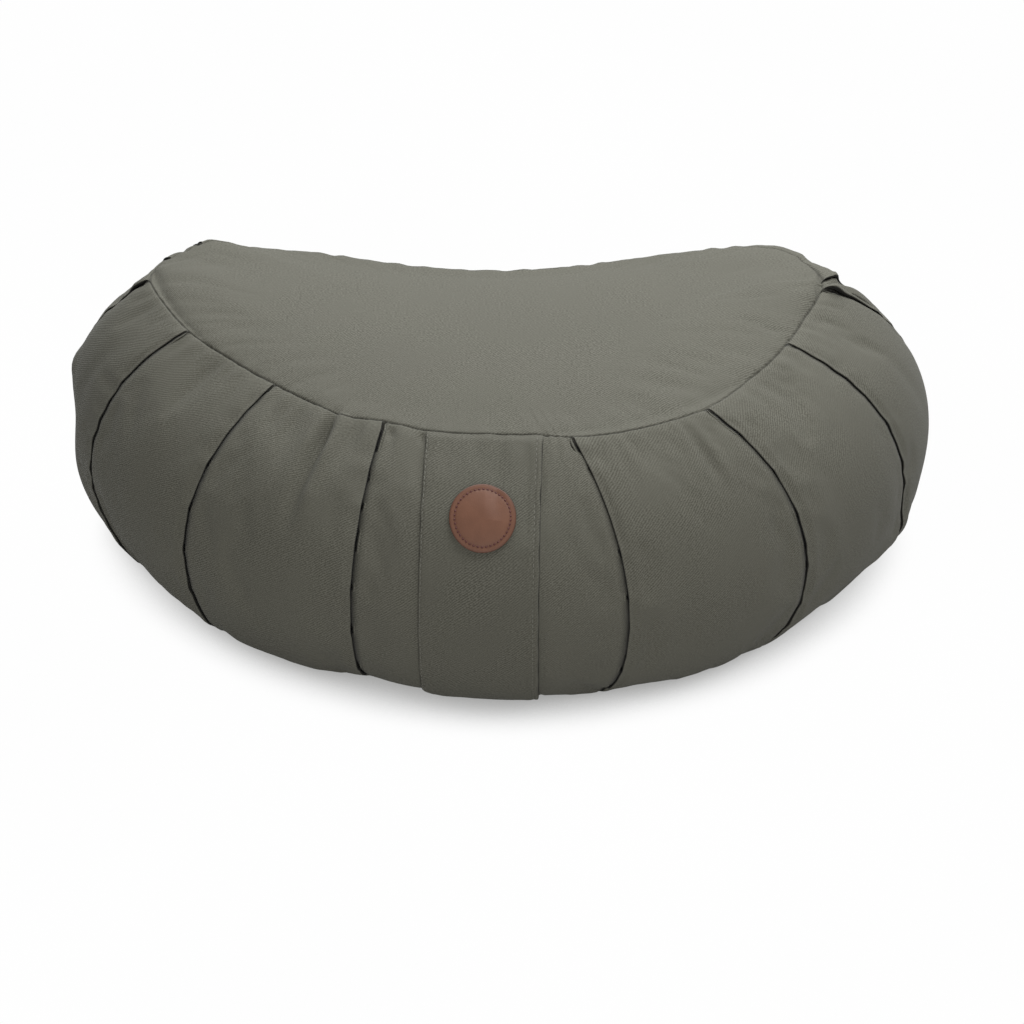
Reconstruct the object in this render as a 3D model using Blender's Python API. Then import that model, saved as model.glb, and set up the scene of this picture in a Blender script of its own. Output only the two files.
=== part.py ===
"""A crescent meditation cushion of pleated cloth, with a sewn band and a leather badge at its front.

Metres, +Z up. The origin is on the floor under the middle of the cushion, -Y is its bulging front
and +X is to the right for someone who looks at that front. Two outlines drive the shape: the sewn
edge of the top panel, and the widest line of the side. The side panel runs from the first out to
the second and in again to the base panel, and its knife pleats are rows of a table.
"""
import math
from dataclasses import dataclass

import bmesh
import bpy
import numpy as np

MM = 0.001


@dataclass(frozen=True)
class Outline:
    """A crescent seen from above: a front arc, and a back arc with a bay in its middle."""

    half_width: float
    front_reach: float
    back_reach: float
    bay: float
    left_power: float
    right_power: float
    lean: float
    middle_x: float
    middle_y: float


@dataclass(frozen=True)
class Pleat:
    """A knife pleat: where its fold edge lies on both outlines, from the front's middle, + to the right."""

    name: str
    on_seam: float
    on_widest: float
    step: float


@dataclass(frozen=True)
class Panel:
    """The stretch of side between two fold edges. A folded side lies over its neighbour."""

    seam_from: float
    seam_to: float
    widest_from: float
    widest_to: float
    step_from: float
    step_to: float


TOP_SEAM = Outline(
    half_width=176.5 * MM, front_reach=163 * MM, back_reach=40 * MM, bay=45 * MM,
    left_power=1.70, right_power=2.11, lean=-0.13, middle_x=-5.6 * MM, middle_y=90.6 * MM,
)
WIDEST = Outline(
    half_width=229 * MM, front_reach=202 * MM, back_reach=88 * MM, bay=41.5 * MM,
    left_power=1.80, right_power=1.99, lean=-0.01, middle_x=0.0, middle_y=74.6 * MM,
)

SEAM_HEIGHT = 146 * MM
WIDEST_HEIGHT = 65.5 * MM
CROWN = 12.5 * MM
CROWN_POWER = 0.8
CROWN_LENGTH_POWER = 4
TIP_RISE = 3 * MM
TIP_POWER = 4
SHOULDER = math.radians(28)
BASE_DRAW = 0.78

GROOVE_DEPTH = 1.2 * MM
GROOVE_HALF = 4 * MM
BASE_GROOVE = 1.5 * MM

PLEATS = (
    Pleat("left tip, third", -288 * MM, -404 * MM, 1.6 * MM),
    Pleat("left tip, second", -266 * MM, -374 * MM, 2.2 * MM),
    Pleat("left tip, first", -243.5 * MM, -344.7 * MM, 3.0 * MM),
    Pleat("left, outer", -184.9 * MM, -265.4 * MM, 3.4 * MM),
    Pleat("left, middle", -117.1 * MM, -175.2 * MM, 3.6 * MM),
    Pleat("left, inner", -51.4 * MM, -72.9 * MM, 3.2 * MM),
    Pleat("right, inner", 44.0 * MM, 68.8 * MM, 3.2 * MM),
    Pleat("right, middle", 114.6 * MM, 172.0 * MM, 3.4 * MM),
    Pleat("right, outer", 186.6 * MM, 263.9 * MM, 3.4 * MM),
    Pleat("right tip, first", 247.0 * MM, 354.3 * MM, 3.2 * MM),
    Pleat("right tip, second", 268.0 * MM, 382.0 * MM, 2.2 * MM),
)
STEP_WIDTH = 0.9 * MM
LIFT_REACH = 30 * MM
PUFF = 2.0 * MM
PUFF_PANEL = 90 * MM
SEAM_STEP_SHARE = 0.3
COLUMN_PITCH = 9.5 * MM

UPPER_RINGS = 9
LOWER_RINGS = 8
RING_BY_SEAM = 0.14
TOP_RINGS = (0.97, 0.90, 0.79, 0.64, 0.46, 0.28, 0.12)
BASE_RINGS = (0.97, 0.94, 0.60, 0.25)

BAND_ON_SEAM = (-28.3 * MM, 30.2 * MM)
BAND_ON_WIDEST = (-36.4 * MM, 22.3 * MM)
BAND_THICK = 1.6 * MM
BAND_COLUMNS = 8
SEAT_GAP = 0.3 * MM

BADGE_RADIUS = 16.7 * MM
BADGE_THICK = 2.0 * MM
BADGE_ACROSS = 2.3 * MM
BADGE_DOWN = 45.0 * MM
BADGE_SECTORS = 40
BADGE_RINGS = (1.0, 0.66, 0.33)

ARC_SAMPLES = 8192
SHARP_EDGE = math.radians(40)
PLEAT_NAMED = {pleat.name: pleat for pleat in PLEATS}
FRONT_LEFT = PLEAT_NAMED["left, inner"]
FRONT_RIGHT = PLEAT_NAMED["right, inner"]


def outline_points(outline, angles):
    """The outline's points at angles counted from its right tip, anticlockwise seen from above."""
    cosine, sine = np.cos(angles), np.sin(angles)
    power = 2 / np.where(cosine > 0, outline.right_power, outline.left_power)
    x = outline.half_width * np.sign(cosine) * np.abs(cosine) ** power
    across = x / outline.half_width
    front = -outline.front_reach * np.abs(sine) ** power
    back = outline.back_reach * np.abs(sine) ** power * (1 + outline.lean * across)
    back = back - outline.bay * np.cos(math.pi * across / 2) ** 2
    y = np.where(sine < 0, front, back)
    return np.stack([x + outline.middle_x, y + outline.middle_y], axis=-1)


def angles_at(outline, arcs):
    """The angles at lengths along the outline from its front middle, and the outline's whole length."""
    angles = np.linspace(-math.pi / 2, 1.5 * math.pi, ARC_SAMPLES)
    points = outline_points(outline, angles)
    lengths = np.concatenate([[0.0], np.cumsum(np.linalg.norm(np.diff(points, axis=0), axis=1))])
    return np.interp(np.mod(arcs, lengths[-1]), lengths, angles), lengths[-1]


def outline_middle(outline):
    """The point halfway from the front's middle to the bay's, which rings shrink to."""
    ends = outline_points(outline, np.array([math.pi / 2, -math.pi / 2]))
    return ends.mean(axis=0)


def seam_height(x):
    """The top seam's height, a little higher at the tips."""
    return SEAM_HEIGHT + TIP_RISE * np.abs((x - TOP_SEAM.middle_x) / TOP_SEAM.half_width) ** TIP_POWER


def top_height(points):
    """The top panel's height: it is crowned between the front and back seam, less so at the tips."""
    across = np.clip((points[:, 0] - TOP_SEAM.middle_x) / TOP_SEAM.half_width, -1, 1)
    half_power = np.where(across > 0, TOP_SEAM.right_power, TOP_SEAM.left_power) / 2
    cosine = np.sign(across) * np.abs(across) ** half_power
    angles = np.arccos(cosine)
    front = outline_points(TOP_SEAM, -angles)[:, 1]
    back = outline_points(TOP_SEAM, angles)[:, 1]
    share = np.clip((points[:, 1] - front) / np.maximum(back - front, MM), 0, 1)
    bow = (4 * share * (1 - share)) ** CROWN_POWER
    fade = np.sqrt(1 - np.abs(across) ** CROWN_LENGTH_POWER)
    return seam_height(points[:, 0]) + CROWN * bow * fade


def side_panels():
    """The stretches of side from the left tip round the front to the right tip, then round the back."""
    panels = []
    for left, right in zip(PLEATS, PLEATS[1:]):
        panels.append(Panel(
            left.on_seam, right.on_seam, left.on_widest, right.on_widest,
            step_from=left.step if left.on_seam > 0 else 0.0,
            step_to=right.step if right.on_seam < 0 else 0.0,
        ))
    _, seam_length = angles_at(TOP_SEAM, np.zeros(1))
    _, widest_length = angles_at(WIDEST, np.zeros(1))
    first, last = PLEATS[0], PLEATS[-1]
    panels.append(Panel(
        last.on_seam, first.on_seam + seam_length, last.on_widest, first.on_widest + widest_length,
        last.step, first.step,
    ))
    return panels


def columns_between(first, last, count, inset_first=0.0, inset_last=0.0):
    """Evenly spaced rows of (length on the seam, length on the widest line) between two such pairs."""
    shares = np.linspace(0.0, 1.0, count + 1)[:, None]
    start = np.array(first) + inset_first
    end = np.array(last) - inset_last
    return start + shares * (end - start)


def panel_columns(panel):
    """Rows of (length on the seam, length on the widest line, lift of the fold edges, puff)."""
    width = panel.widest_to - panel.widest_from
    count = max(3, round(width / COLUMN_PITCH))
    places = columns_between(
        (panel.seam_from, panel.widest_from), (panel.seam_to, panel.widest_to), count,
        STEP_WIDTH / 2, STEP_WIDTH / 2,
    )
    shares = np.linspace(0.0, 1.0, count + 1)
    by_first = np.clip(1 - shares * width / LIFT_REACH, 0, 1) ** 2
    by_last = np.clip(1 - (1 - shares) * width / LIFT_REACH, 0, 1) ** 2
    lift = panel.step_from * by_first + panel.step_to * by_last
    puff = PUFF * min(1.0, width / PUFF_PANEL) * np.sin(math.pi * shares)
    return np.column_stack([places, lift, puff])


def with_front_puff(places):
    """The front panel's columns: no fold edge is lifted there, and the filling puffs it out."""
    shares = (places[:, 1] - FRONT_LEFT.on_widest) / (FRONT_RIGHT.on_widest - FRONT_LEFT.on_widest)
    return np.column_stack([places, np.zeros(len(places)), PUFF * np.sin(math.pi * shares)])


def band_columns():
    """The columns across the sewn band."""
    ends = list(zip(BAND_ON_SEAM, BAND_ON_WIDEST))
    return with_front_puff(columns_between(ends[0], ends[1], BAND_COLUMNS))


def front_columns():
    """The front panel's columns: those of the band, and more on each side of it up to the pleats."""
    ends = list(zip(BAND_ON_SEAM, BAND_ON_WIDEST))
    left = (FRONT_LEFT.on_seam, FRONT_LEFT.on_widest)
    right = (FRONT_RIGHT.on_seam, FRONT_RIGHT.on_widest)
    count_left = round((ends[0][1] - left[1]) / COLUMN_PITCH)
    count_right = round((right[1] - ends[1][1]) / COLUMN_PITCH)
    by_left = columns_between(left, ends[0], count_left, inset_first=STEP_WIDTH / 2)
    by_right = columns_between(ends[1], right, count_right, inset_last=STEP_WIDTH / 2)
    return np.concatenate([with_front_puff(by_left[:-1]), band_columns(), with_front_puff(by_right[1:])])


def all_columns():
    """Every column round the cushion, in order, starting at the pleat furthest round the left tip."""
    columns = []
    for panel in side_panels():
        is_front = panel.seam_from == FRONT_LEFT.on_seam
        columns.append(front_columns() if is_front else panel_columns(panel))
    return np.concatenate(columns)


def wall_profile():
    """Rows down the side: share of the way out from the seam, then the shares of the two heights."""
    rows = []
    for ring in (0, RING_BY_SEAM, *range(1, UPPER_RINGS + 1)):
        angle = SHOULDER + (math.pi / 2 - SHOULDER) * ring / UPPER_RINGS
        out = (math.sin(angle) - math.sin(SHOULDER)) / (1 - math.sin(SHOULDER))
        rows.append((out, 1.0, math.cos(angle) / math.cos(SHOULDER)))
    for ring in range(1, LOWER_RINGS + 1):
        angle = math.pi / 2 * ring / LOWER_RINGS
        rows.append((1 - BASE_DRAW * (1 - math.cos(angle)), 1 - math.sin(angle), 0.0))
    return np.array(rows)


def wall_surface(columns, profile):
    """The side's points and outward normals, rings by columns, before its pleats are raised."""
    seam_angles, _ = angles_at(TOP_SEAM, columns[:, 0])
    widest_angles, _ = angles_at(WIDEST, columns[:, 1])
    seam = outline_points(TOP_SEAM, seam_angles)
    widest = outline_points(WIDEST, widest_angles)
    flat = seam[None] + profile[:, 0, None, None] * (widest - seam)[None]
    above_widest = seam_height(seam[:, 0]) - WIDEST_HEIGHT
    height = profile[:, 1, None] * WIDEST_HEIGHT + profile[:, 2, None] * above_widest
    points = np.concatenate([flat, height[..., None]], axis=-1)
    down = np.gradient(points, axis=0)
    along = np.gradient(points, axis=1)
    normals = np.cross(down, along)
    normals /= np.linalg.norm(normals, axis=-1, keepdims=True)
    return points, normals


def relief(columns, profile):
    """How far the pleats and the filling raise each point of the side."""
    down = np.linspace(0.0, 1.0, len(profile))[:, None]
    swell = np.sin(math.pi * down)
    lift = columns[:, 2] * (SEAM_STEP_SHARE + (1 - SEAM_STEP_SHARE) * swell)
    return lift + columns[:, 3] * swell


def side_points(columns, profile, offset=0.0):
    """The side's finished points, offset outwards."""
    points, normals = wall_surface(columns, profile)
    raised = points + normals * (relief(columns, profile) + offset)[..., None]
    raised[..., 2] = np.maximum(raised[..., 2], 0.0)
    raised[-1, :, 2] = 0.0
    return raised


def add_ring(mesh, points):
    """Adds one closed ring of vertices to the mesh."""
    return [mesh.verts.new(point) for point in points]


def join_rings(mesh, upper, lower):
    """Joins two rings of as many vertices with quads that face outwards when the first is above."""
    for k in range(len(upper)):
        after = (k + 1) % len(upper)
        mesh.faces.new((upper[k], lower[k], lower[after], upper[after]))


def close_ring(mesh, ring):
    """Fills a ring with triangles."""
    face = mesh.faces.new(ring)
    bmesh.ops.triangulate(mesh, faces=[face], quad_method="BEAUTY", ngon_method="BEAUTY")


def finish_object(mesh, name, material):
    """Makes the mesh an object of this name, smooth where it is round."""
    bmesh.ops.recalc_face_normals(mesh, faces=mesh.faces)
    data = bpy.data.meshes.new(name)
    mesh.to_mesh(data)
    mesh.free()
    data.shade_smooth()
    data.set_sharp_from_angle(angle=SHARP_EDGE)
    data.materials.append(material)
    made = bpy.data.objects.new(name, data)
    bpy.context.scene.collection.objects.link(made)
    return made


def plain_material(name, colour, roughness):
    """A Principled material of one colour."""
    material = bpy.data.materials.new(name)
    material.use_nodes = True
    shader = material.node_tree.nodes["Principled BSDF"]
    shader.inputs["Base Color"].default_value = (*colour, 1.0)
    shader.inputs["Roughness"].default_value = roughness
    shader.inputs["Metallic"].default_value = 0.0
    return material


def make_cushion(material):
    """The filled cover: top panel, pleated side and base panel in one closed solid."""
    columns = all_columns()
    profile = wall_profile()
    side = side_points(columns, profile)
    mesh = bmesh.new()

    seam = side[0, :, :2].copy()
    middle = outline_middle(TOP_SEAM)
    lip_share = 1 - GROOVE_HALF / np.linalg.norm(seam - middle, axis=1)
    above = []
    for share in (1.0, *TOP_RINGS):
        flat = middle + (share * lip_share)[:, None] * (seam - middle)
        above.append(np.column_stack([flat, top_height(flat)]))
    side[0, :, 2] -= GROOVE_DEPTH

    rings = [add_ring(mesh, points) for points in reversed(above)]
    rings += [add_ring(mesh, points) for points in side]
    edge = side[-1, :, :2]
    for share, height in zip(BASE_RINGS, (BASE_GROOVE, 0.0, 0.0, 0.0)):
        flat = middle + share * (edge - middle)
        rings.append(add_ring(mesh, np.column_stack([flat, np.full(len(flat), height)])))

    for upper, lower in zip(rings, rings[1:]):
        join_rings(mesh, upper, lower)
    close_ring(mesh, rings[0])
    close_ring(mesh, list(reversed(rings[-1])))
    return finish_object(mesh, "cushion", material)


def solid_sheet(mesh, inner, outer):
    """A closed sheet between two grids of points of the same size."""
    rows, count = inner.shape[:2]
    low = [[mesh.verts.new(point) for point in row] for row in inner]
    high = [[mesh.verts.new(point) for point in row] for row in outer]
    for r in range(rows - 1):
        for c in range(count - 1):
            mesh.faces.new((high[r][c], high[r + 1][c], high[r + 1][c + 1], high[r][c + 1]))
            mesh.faces.new((low[r][c], low[r][c + 1], low[r + 1][c + 1], low[r + 1][c]))
    border = [(r, 0) for r in range(rows)]
    border += [(rows - 1, c) for c in range(1, count)]
    border += [(r, count - 1) for r in range(rows - 2, -1, -1)]
    border += [(0, c) for c in range(count - 2, 0, -1)]
    for k, (r, c) in enumerate(border):
        r_after, c_after = border[(k + 1) % len(border)]
        mesh.faces.new((low[r][c], low[r_after][c_after], high[r_after][c_after], high[r][c]))


def make_band(material):
    """The strap sewn down the front, from under the top seam to above the base seam."""
    columns = band_columns()
    profile = wall_profile()
    inner = side_points(columns, profile, SEAT_GAP)[1:-2]
    outer = side_points(columns, profile, SEAT_GAP + BAND_THICK)[1:-2]
    mesh = bmesh.new()
    solid_sheet(mesh, inner, outer)
    return finish_object(mesh, "front_band", material)


def on_grid(grid, column, ring):
    """A point of a grid of points, at a place counted in columns and rings."""
    rings, columns = grid.shape[:2]
    c = min(max(int(column), 0), columns - 2)
    r = min(max(int(ring), 0), rings - 2)
    u, v = column - c, ring - r
    upper = grid[r, c] * (1 - u) + grid[r, c + 1] * u
    lower = grid[r + 1, c] * (1 - u) + grid[r + 1, c + 1] * u
    return upper * (1 - v) + lower * v


def make_badge(material):
    """The round badge on the band, bowed as the band is."""
    offset = SEAT_GAP + BAND_THICK + SEAT_GAP
    profile = wall_profile()
    columns = band_columns()
    band_width = BAND_ON_SEAM[1] - BAND_ON_SEAM[0]
    back = side_points(columns, profile, offset)
    front = side_points(columns, profile, offset + BADGE_THICK)
    steps = np.linalg.norm(np.diff(back[:, BAND_COLUMNS // 2], axis=0), axis=1)
    lengths = np.concatenate([[0.0], np.cumsum(steps)])
    mesh = bmesh.new()
    faces = []
    for grid in (back, front):
        rings = []
        for share in BADGE_RINGS:
            ring = []
            for k in range(BADGE_SECTORS):
                turn = 2 * math.pi * k / BADGE_SECTORS
                across = BADGE_ACROSS + share * BADGE_RADIUS * math.cos(turn)
                down = BADGE_DOWN - share * BADGE_RADIUS * math.sin(turn)
                column = (across / band_width + 0.5) * BAND_COLUMNS
                row = float(np.interp(down, lengths, np.arange(len(lengths))))
                ring.append(mesh.verts.new(on_grid(grid, column, row)))
            rings.append(ring)
        faces.append(rings)
    behind, ahead = faces
    for wide, narrow in zip(ahead, ahead[1:]):
        join_rings(mesh, wide, narrow)
    for wide, narrow in zip(behind, behind[1:]):
        join_rings(mesh, narrow, wide)
    join_rings(mesh, behind[0], ahead[0])
    close_ring(mesh, ahead[-1])
    close_ring(mesh, list(reversed(behind[-1])))
    return finish_object(mesh, "badge", material)


def main():
    """Clears the scene and builds the cushion, its band and its badge."""
    for old in list(bpy.data.objects):
        bpy.data.objects.remove(old, do_unlink=True)
    cloth = plain_material("olive_twill", (0.135, 0.133, 0.112), 0.9)
    band_cloth = plain_material("olive_twill_band", (0.12, 0.118, 0.1), 0.9)
    leather = plain_material("brown_leather", (0.19, 0.075, 0.045), 0.55)
    make_cushion(cloth)
    make_band(band_cloth)
    make_badge(leather)


main()
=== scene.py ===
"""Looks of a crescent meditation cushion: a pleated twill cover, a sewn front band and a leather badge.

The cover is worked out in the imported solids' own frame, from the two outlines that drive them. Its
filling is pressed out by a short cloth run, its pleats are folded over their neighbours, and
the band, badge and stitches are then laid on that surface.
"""
import logging
import math
from dataclasses import dataclass
from enum import Enum

import bpy
import numpy as np
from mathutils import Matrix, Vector


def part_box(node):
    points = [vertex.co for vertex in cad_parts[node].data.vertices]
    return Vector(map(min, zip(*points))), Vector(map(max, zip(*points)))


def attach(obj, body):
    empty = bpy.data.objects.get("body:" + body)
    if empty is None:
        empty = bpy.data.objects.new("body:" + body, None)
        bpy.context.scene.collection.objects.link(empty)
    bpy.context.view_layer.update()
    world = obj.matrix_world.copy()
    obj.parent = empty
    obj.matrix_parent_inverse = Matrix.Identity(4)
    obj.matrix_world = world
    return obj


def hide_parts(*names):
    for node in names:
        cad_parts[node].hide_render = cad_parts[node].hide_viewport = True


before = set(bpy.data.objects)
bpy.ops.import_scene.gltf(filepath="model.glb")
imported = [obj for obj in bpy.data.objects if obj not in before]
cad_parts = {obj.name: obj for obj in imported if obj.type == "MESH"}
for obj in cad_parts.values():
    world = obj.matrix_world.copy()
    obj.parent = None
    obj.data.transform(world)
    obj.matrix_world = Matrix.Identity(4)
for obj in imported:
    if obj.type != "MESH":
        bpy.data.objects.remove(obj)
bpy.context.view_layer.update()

LOG = logging.getLogger("cushion")
MM = 0.001
BODY = "root"


@dataclass(frozen=True)
class Outline:
    """A crescent seen from above: a front arc, and a back arc with a bay in its middle.

    Lengths are metres. Each half's power rounds or squares its tip, and lean makes the back uneven.
    """

    half_width: float
    front_reach: float
    back_reach: float
    bay: float
    left_power: float
    right_power: float
    lean: float
    middle_x: float
    middle_y: float

    def points(self, angles: np.ndarray) -> np.ndarray:
        """Gives the outline's points.

        Args:
            angles: turns from the right tip, anticlockwise seen from above.

        Returns:
            Points in the plane, in the last axis.
        """
        cosine, sine = np.cos(angles), np.sin(angles)
        power = 2 / np.where(cosine > 0, self.right_power, self.left_power)
        x = self.half_width * np.sign(cosine) * np.abs(cosine) ** power
        across = x / self.half_width
        front = -self.front_reach * np.abs(sine) ** power
        back = self.back_reach * np.abs(sine) ** power * (1 + self.lean * across)
        back = back - self.bay * np.cos(math.pi * across / 2) ** 2
        y = np.where(sine < 0, front, back)
        return np.stack([x + self.middle_x, y + self.middle_y], axis=-1)

    def ruler(self) -> tuple[np.ndarray, np.ndarray]:
        """Angles all the way round from the front's middle, and the outline's length up to each."""
        angles = np.linspace(-math.pi / 2, 1.5 * math.pi, 8192)
        steps = np.linalg.norm(np.diff(self.points(angles), axis=0), axis=1)
        return angles, np.concatenate([[0.0], np.cumsum(steps)])

    def at(self, lengths: np.ndarray) -> np.ndarray:
        """Points at lengths along the outline from its front's middle, + to the right, eased a little."""
        angles, ruler = self.ruler()
        eased = [
            self.points(np.interp(np.mod(lengths + shift, ruler[-1]), ruler, angles))
            for shift in (-0.010, -0.005, 0.0, 0.005, 0.010)
        ]
        return sum(eased) / len(eased)

    def whole(self) -> float:
        """The outline's length all the way round."""
        return float(self.ruler()[1][-1])

    def middle(self) -> np.ndarray:
        """The point halfway from the front's middle to the bay's."""
        return self.points(np.array([math.pi / 2, -math.pi / 2])).mean(axis=0)


@dataclass(frozen=True)
class Pleat:
    """A knife pleat: its fold edge's place on both outlines, and how far it stands over its neighbour.

    The five stands, in metres, are at the seam, on the shoulder, at the widest line, low on the side
    and at the base. Where it gapes, the edge stands off further, most at a length below the seam.
    """

    name: str
    on_seam: float
    on_widest: float
    stands: tuple[float, float, float, float, float]
    gape: float = 0.0
    gape_at: float = 1.0

    def stand(self, down: np.ndarray, off: np.ndarray) -> np.ndarray:
        """The fold edge's height.

        Args:
            down: places down the side, from 0 at the seam to 2 at the base.
            off: the same places as lengths from the seam.
        """
        opened = off / self.gape_at
        return np.interp(down, (0.0, 0.35, 1.0, 1.6, 2.0), self.stands) + self.gape * opened * np.exp(1 - opened)


def pleat(
    name: str, on_seam: float, on_widest: float, *stands: float, gape: float = 0.0, gape_at: float = 10.0
) -> Pleat:
    """A pleat whose sizes are given in millimetres."""
    heights = tuple(stand * MM for stand in stands)
    return Pleat(name, on_seam * MM, on_widest * MM, heights, gape * MM, gape_at * MM)


PLEATS = (
    pleat("left tip, third", -288.0, -404.0, 0.4, 0.8, 1.0, 1.0, 0.6, gape=0.6, gape_at=5),
    pleat("left tip, second", -266.0, -374.0, 0.4, 0.8, 1.0, 1.0, 0.6, gape=0.8, gape_at=6),
    pleat("left tip, first", -237.5, -344.7, 0.5, 0.9, 0.9, 1.0, 0.7, gape=1.3, gape_at=15),
    pleat("left, outer", -184.9, -266.6, 0.4, 0.7, 0.8, 1.3, 0.8),
    pleat("left, middle", -117.1, -175.2, 0.4, 0.7, 0.8, 2.0, 0.9),
    pleat("left, inner", -51.4, -72.9, 0.5, 0.7, 0.7, 1.3, 0.7, gape=0.5, gape_at=9),
    pleat("right, inner", 44.0, 68.8, 0.5, 0.7, 0.7, 0.8, 0.6, gape=0.5, gape_at=8),
    pleat("right, middle", 114.6, 172.0, 0.4, 0.7, 0.8, 0.8, 0.5),
    pleat("right, outer", 186.6, 263.9, 0.4, 0.8, 0.8, 0.8, 0.5),
    pleat("right tip, first", 241.5, 353.0, 0.4, 0.8, 1.8, 1.8, 0.7, gape=3.2, gape_at=5),
    pleat("right tip, second", 249.5, 390.0, 1.6, 2.2, 1.2, 1.0, 0.6, gape=1.2, gape_at=4),
)


BAND_ENDS = ((-28.3 * MM, -36.4 * MM), (30.2 * MM, 22.3 * MM))


class FoldHalf(Enum):
    """The two halves of a knife fold, as rows of (slide, share of the stand, lift, painted shade).

    Slides and lifts are millimetres. A slide runs from the fold edge towards the front band, and the
    painted shade is how dark the cloth there is painted for the fold's shade, from 0 to 1. The first half
    runs over the edge and back under it, and the second comes out again from below.
    """

    OVER = (
        (-2.6, 0.90, 0.0, 0.0),
        (-1.1, 0.97, 0.02, 0.0),
        (-0.45, 1.0, -0.03, 0.0),
        (-0.1, 1.0, -0.14, 0.15),
        (0.1, 0.94, -0.34, 0.92),
        (0.12, 0.75, -0.7, 1.0),
        (-0.5, 0.55, -1.1, 1.0),
        (-2.2, 0.45, -1.35, 1.0),
        (-3.5, 0.3, -1.55, 1.0),
        (-4.0, 0.15, -1.8, 1.0),
    )
    UNDER = (
        (-3.8, 0.0, -2.05, 1.0),
        (-2.2, 0.0, -2.0, 1.0),
        (-0.7, 0.0, -1.75, 1.0),
        (0.12, 0.0, -1.4, 1.0),
        (0.6, 0.0, -1.1, 1.0),
        (1.1, 0.0, -0.6, 0.95),
        (1.45, 0.0, -0.25, 0.35),
        (2.0, 0.0, -0.05, 0.0),
        (2.8, 0.0, 0.0, 0.0),
    )


@dataclass(frozen=True)
class Crease:
    """A soft trough, or a ridge if it stands proud, between two places, in metres."""

    start: tuple[float, float]
    end: tuple[float, float]
    width: float
    depth: float

    def relief(self, places: np.ndarray) -> np.ndarray:
        """How far the crease moves the cloth at places in the same plane as its ends."""
        start, end = np.array(self.start), np.array(self.end)
        along = end - start
        share = np.clip(((places - start) @ along) / (along @ along), 0, 1)
        off = np.linalg.norm(places - start - share[..., None] * along, axis=-1)
        taper = np.sin(math.pi * (0.12 + 0.76 * share)) ** 1.5
        return -self.depth * taper * np.exp(-((off / self.width) ** 2))


def crease(start_x: float, start_y: float, end_x: float, end_y: float, width: float, depth: float) -> Crease:
    """A crease whose sizes are given in millimetres."""
    return Crease((start_x * MM, start_y * MM), (end_x * MM, end_y * MM), width * MM, depth * MM)


SIDE_CREASES = (
    crease(-113, 0, -111, 26, 3.4, 3.6),
    crease(-110, 12, -113, 64, 4.2, 4.2),
    crease(-120, 3, -120, 32, 4.0, -2.0),
    crease(-104, 4, -104, 34, 4.0, -1.7),
    crease(-103, 16, -105, 62, 4.4, -2.0),
    crease(-131, 4, -130, 40, 4.2, 0.8),
    crease(-140, 4, -134, 30, 3.4, 0.8),
    crease(-152, 4, -148, 24, 3.2, 0.9),
    crease(-164, 3, -150, 26, 3.2, 0.8),
    crease(-90, 4, -88, 24, 3.4, 0.7),
    crease(-67, 2, -64, 9, 2.4, 2.4),
    crease(64, 2, 63, 9, 2.4, 2.4),
    crease(-39.5, 1, -40, 8, 2.2, 1.8),
    crease(23.6, 1, 24.0, 60, 1.3, 1.0),
    crease(24.0, 50, 23.8, 190, 1.3, 0.8),
    crease(-37.6, 6, -37.8, 120, 1.3, 0.5),
    crease(146, 4, 137, 46, 3.4, 2.0),
    crease(152, 6, 144, 44, 3.4, -1.2),
    crease(128, 5, 124, 36, 3.4, 0.7),
    crease(112, 4, 110, 30, 3.6, 0.6),
    crease(95, 6, 89, 34, 3.8, 0.8),
    crease(80, 5, 78, 26, 3.4, 0.6),
    crease(-84, 40, -96, 130, 9.0, 0.8),
    crease(-140, 60, -150, 150, 10.0, -0.7),
    crease(92, 60, 108, 140, 10.0, 0.8),
    crease(140, 70, 150, 140, 9.0, -0.6),
    crease(-196, 30, -214, 120, 9.0, 0.8),
    crease(-240, 60, -246, 130, 8.0, 0.7),
    crease(196, 40, 204, 120, 9.0, 0.8),
    crease(238, 60, 244, 130, 8.0, -0.6),
    crease(-196, 4, -190, 30, 3.6, 0.5),
    crease(-226, 4, -222, 34, 3.6, 0.5),
    crease(206, 4, 200, 30, 3.6, 0.5),
    crease(232, 4, 226, 36, 3.6, 0.5),
    crease(-290, 20, -300, 90, 7.0, 0.9),
    crease(302, 20, 310, 90, 7.0, 0.8),
    crease(-338, 68, -322, 80, 4.5, -2.2),
    crease(-296, 84, -350, 136, 17, 5.5),
    crease(-257, 98, -254, 168, 7.5, 2.6),
    crease(-285, 96, -278, 160, 9, 2.6),
    crease(-98, 168, -10, 170, 14, 4.6),
    crease(-30, 172, 46, 172, 15, 2.2),
    crease(66, 168, 112, 166, 11, 2.2),
    crease(282, 126, 240, 140, 12, -4.4),
    crease(248, 142, 176, 160, 13, 4.4),
    crease(-184, 150, -140, 156, 14, -2.2),
    crease(-262, 140, -206, 152, 15, 2.2),
    crease(-368, 2, -342, 42, 13, 5.6),
    crease(402, 8, 474, 7, 6.5, -2.4),
    crease(374, 9, 404, 13, 6.5, -3.6),
    crease(372, 6, 366, 40, 9, -2.4),
    crease(-390, 3, -430, 3, 13, -5.6),
    crease(343, 46, 346, 68, 2.0, 1.8),
)

TOP_CREASES = (
    crease(-182, 82, -150, 92, 2.4, 1.0),
    crease(-182, 88, -158, 100, 2.2, -0.5),
    crease(-178, 74, -140, 80, 3.4, 0.5),
    crease(150, 16, 124, 26, 2.4, 0.9),
    crease(152, 22, 132, 34, 2.2, -0.5),
    crease(170, 66, 140, 84, 4.0, 0.5),
)

# How dark the painted shade along the seams is, by length along the top seam in millimetres.
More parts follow.
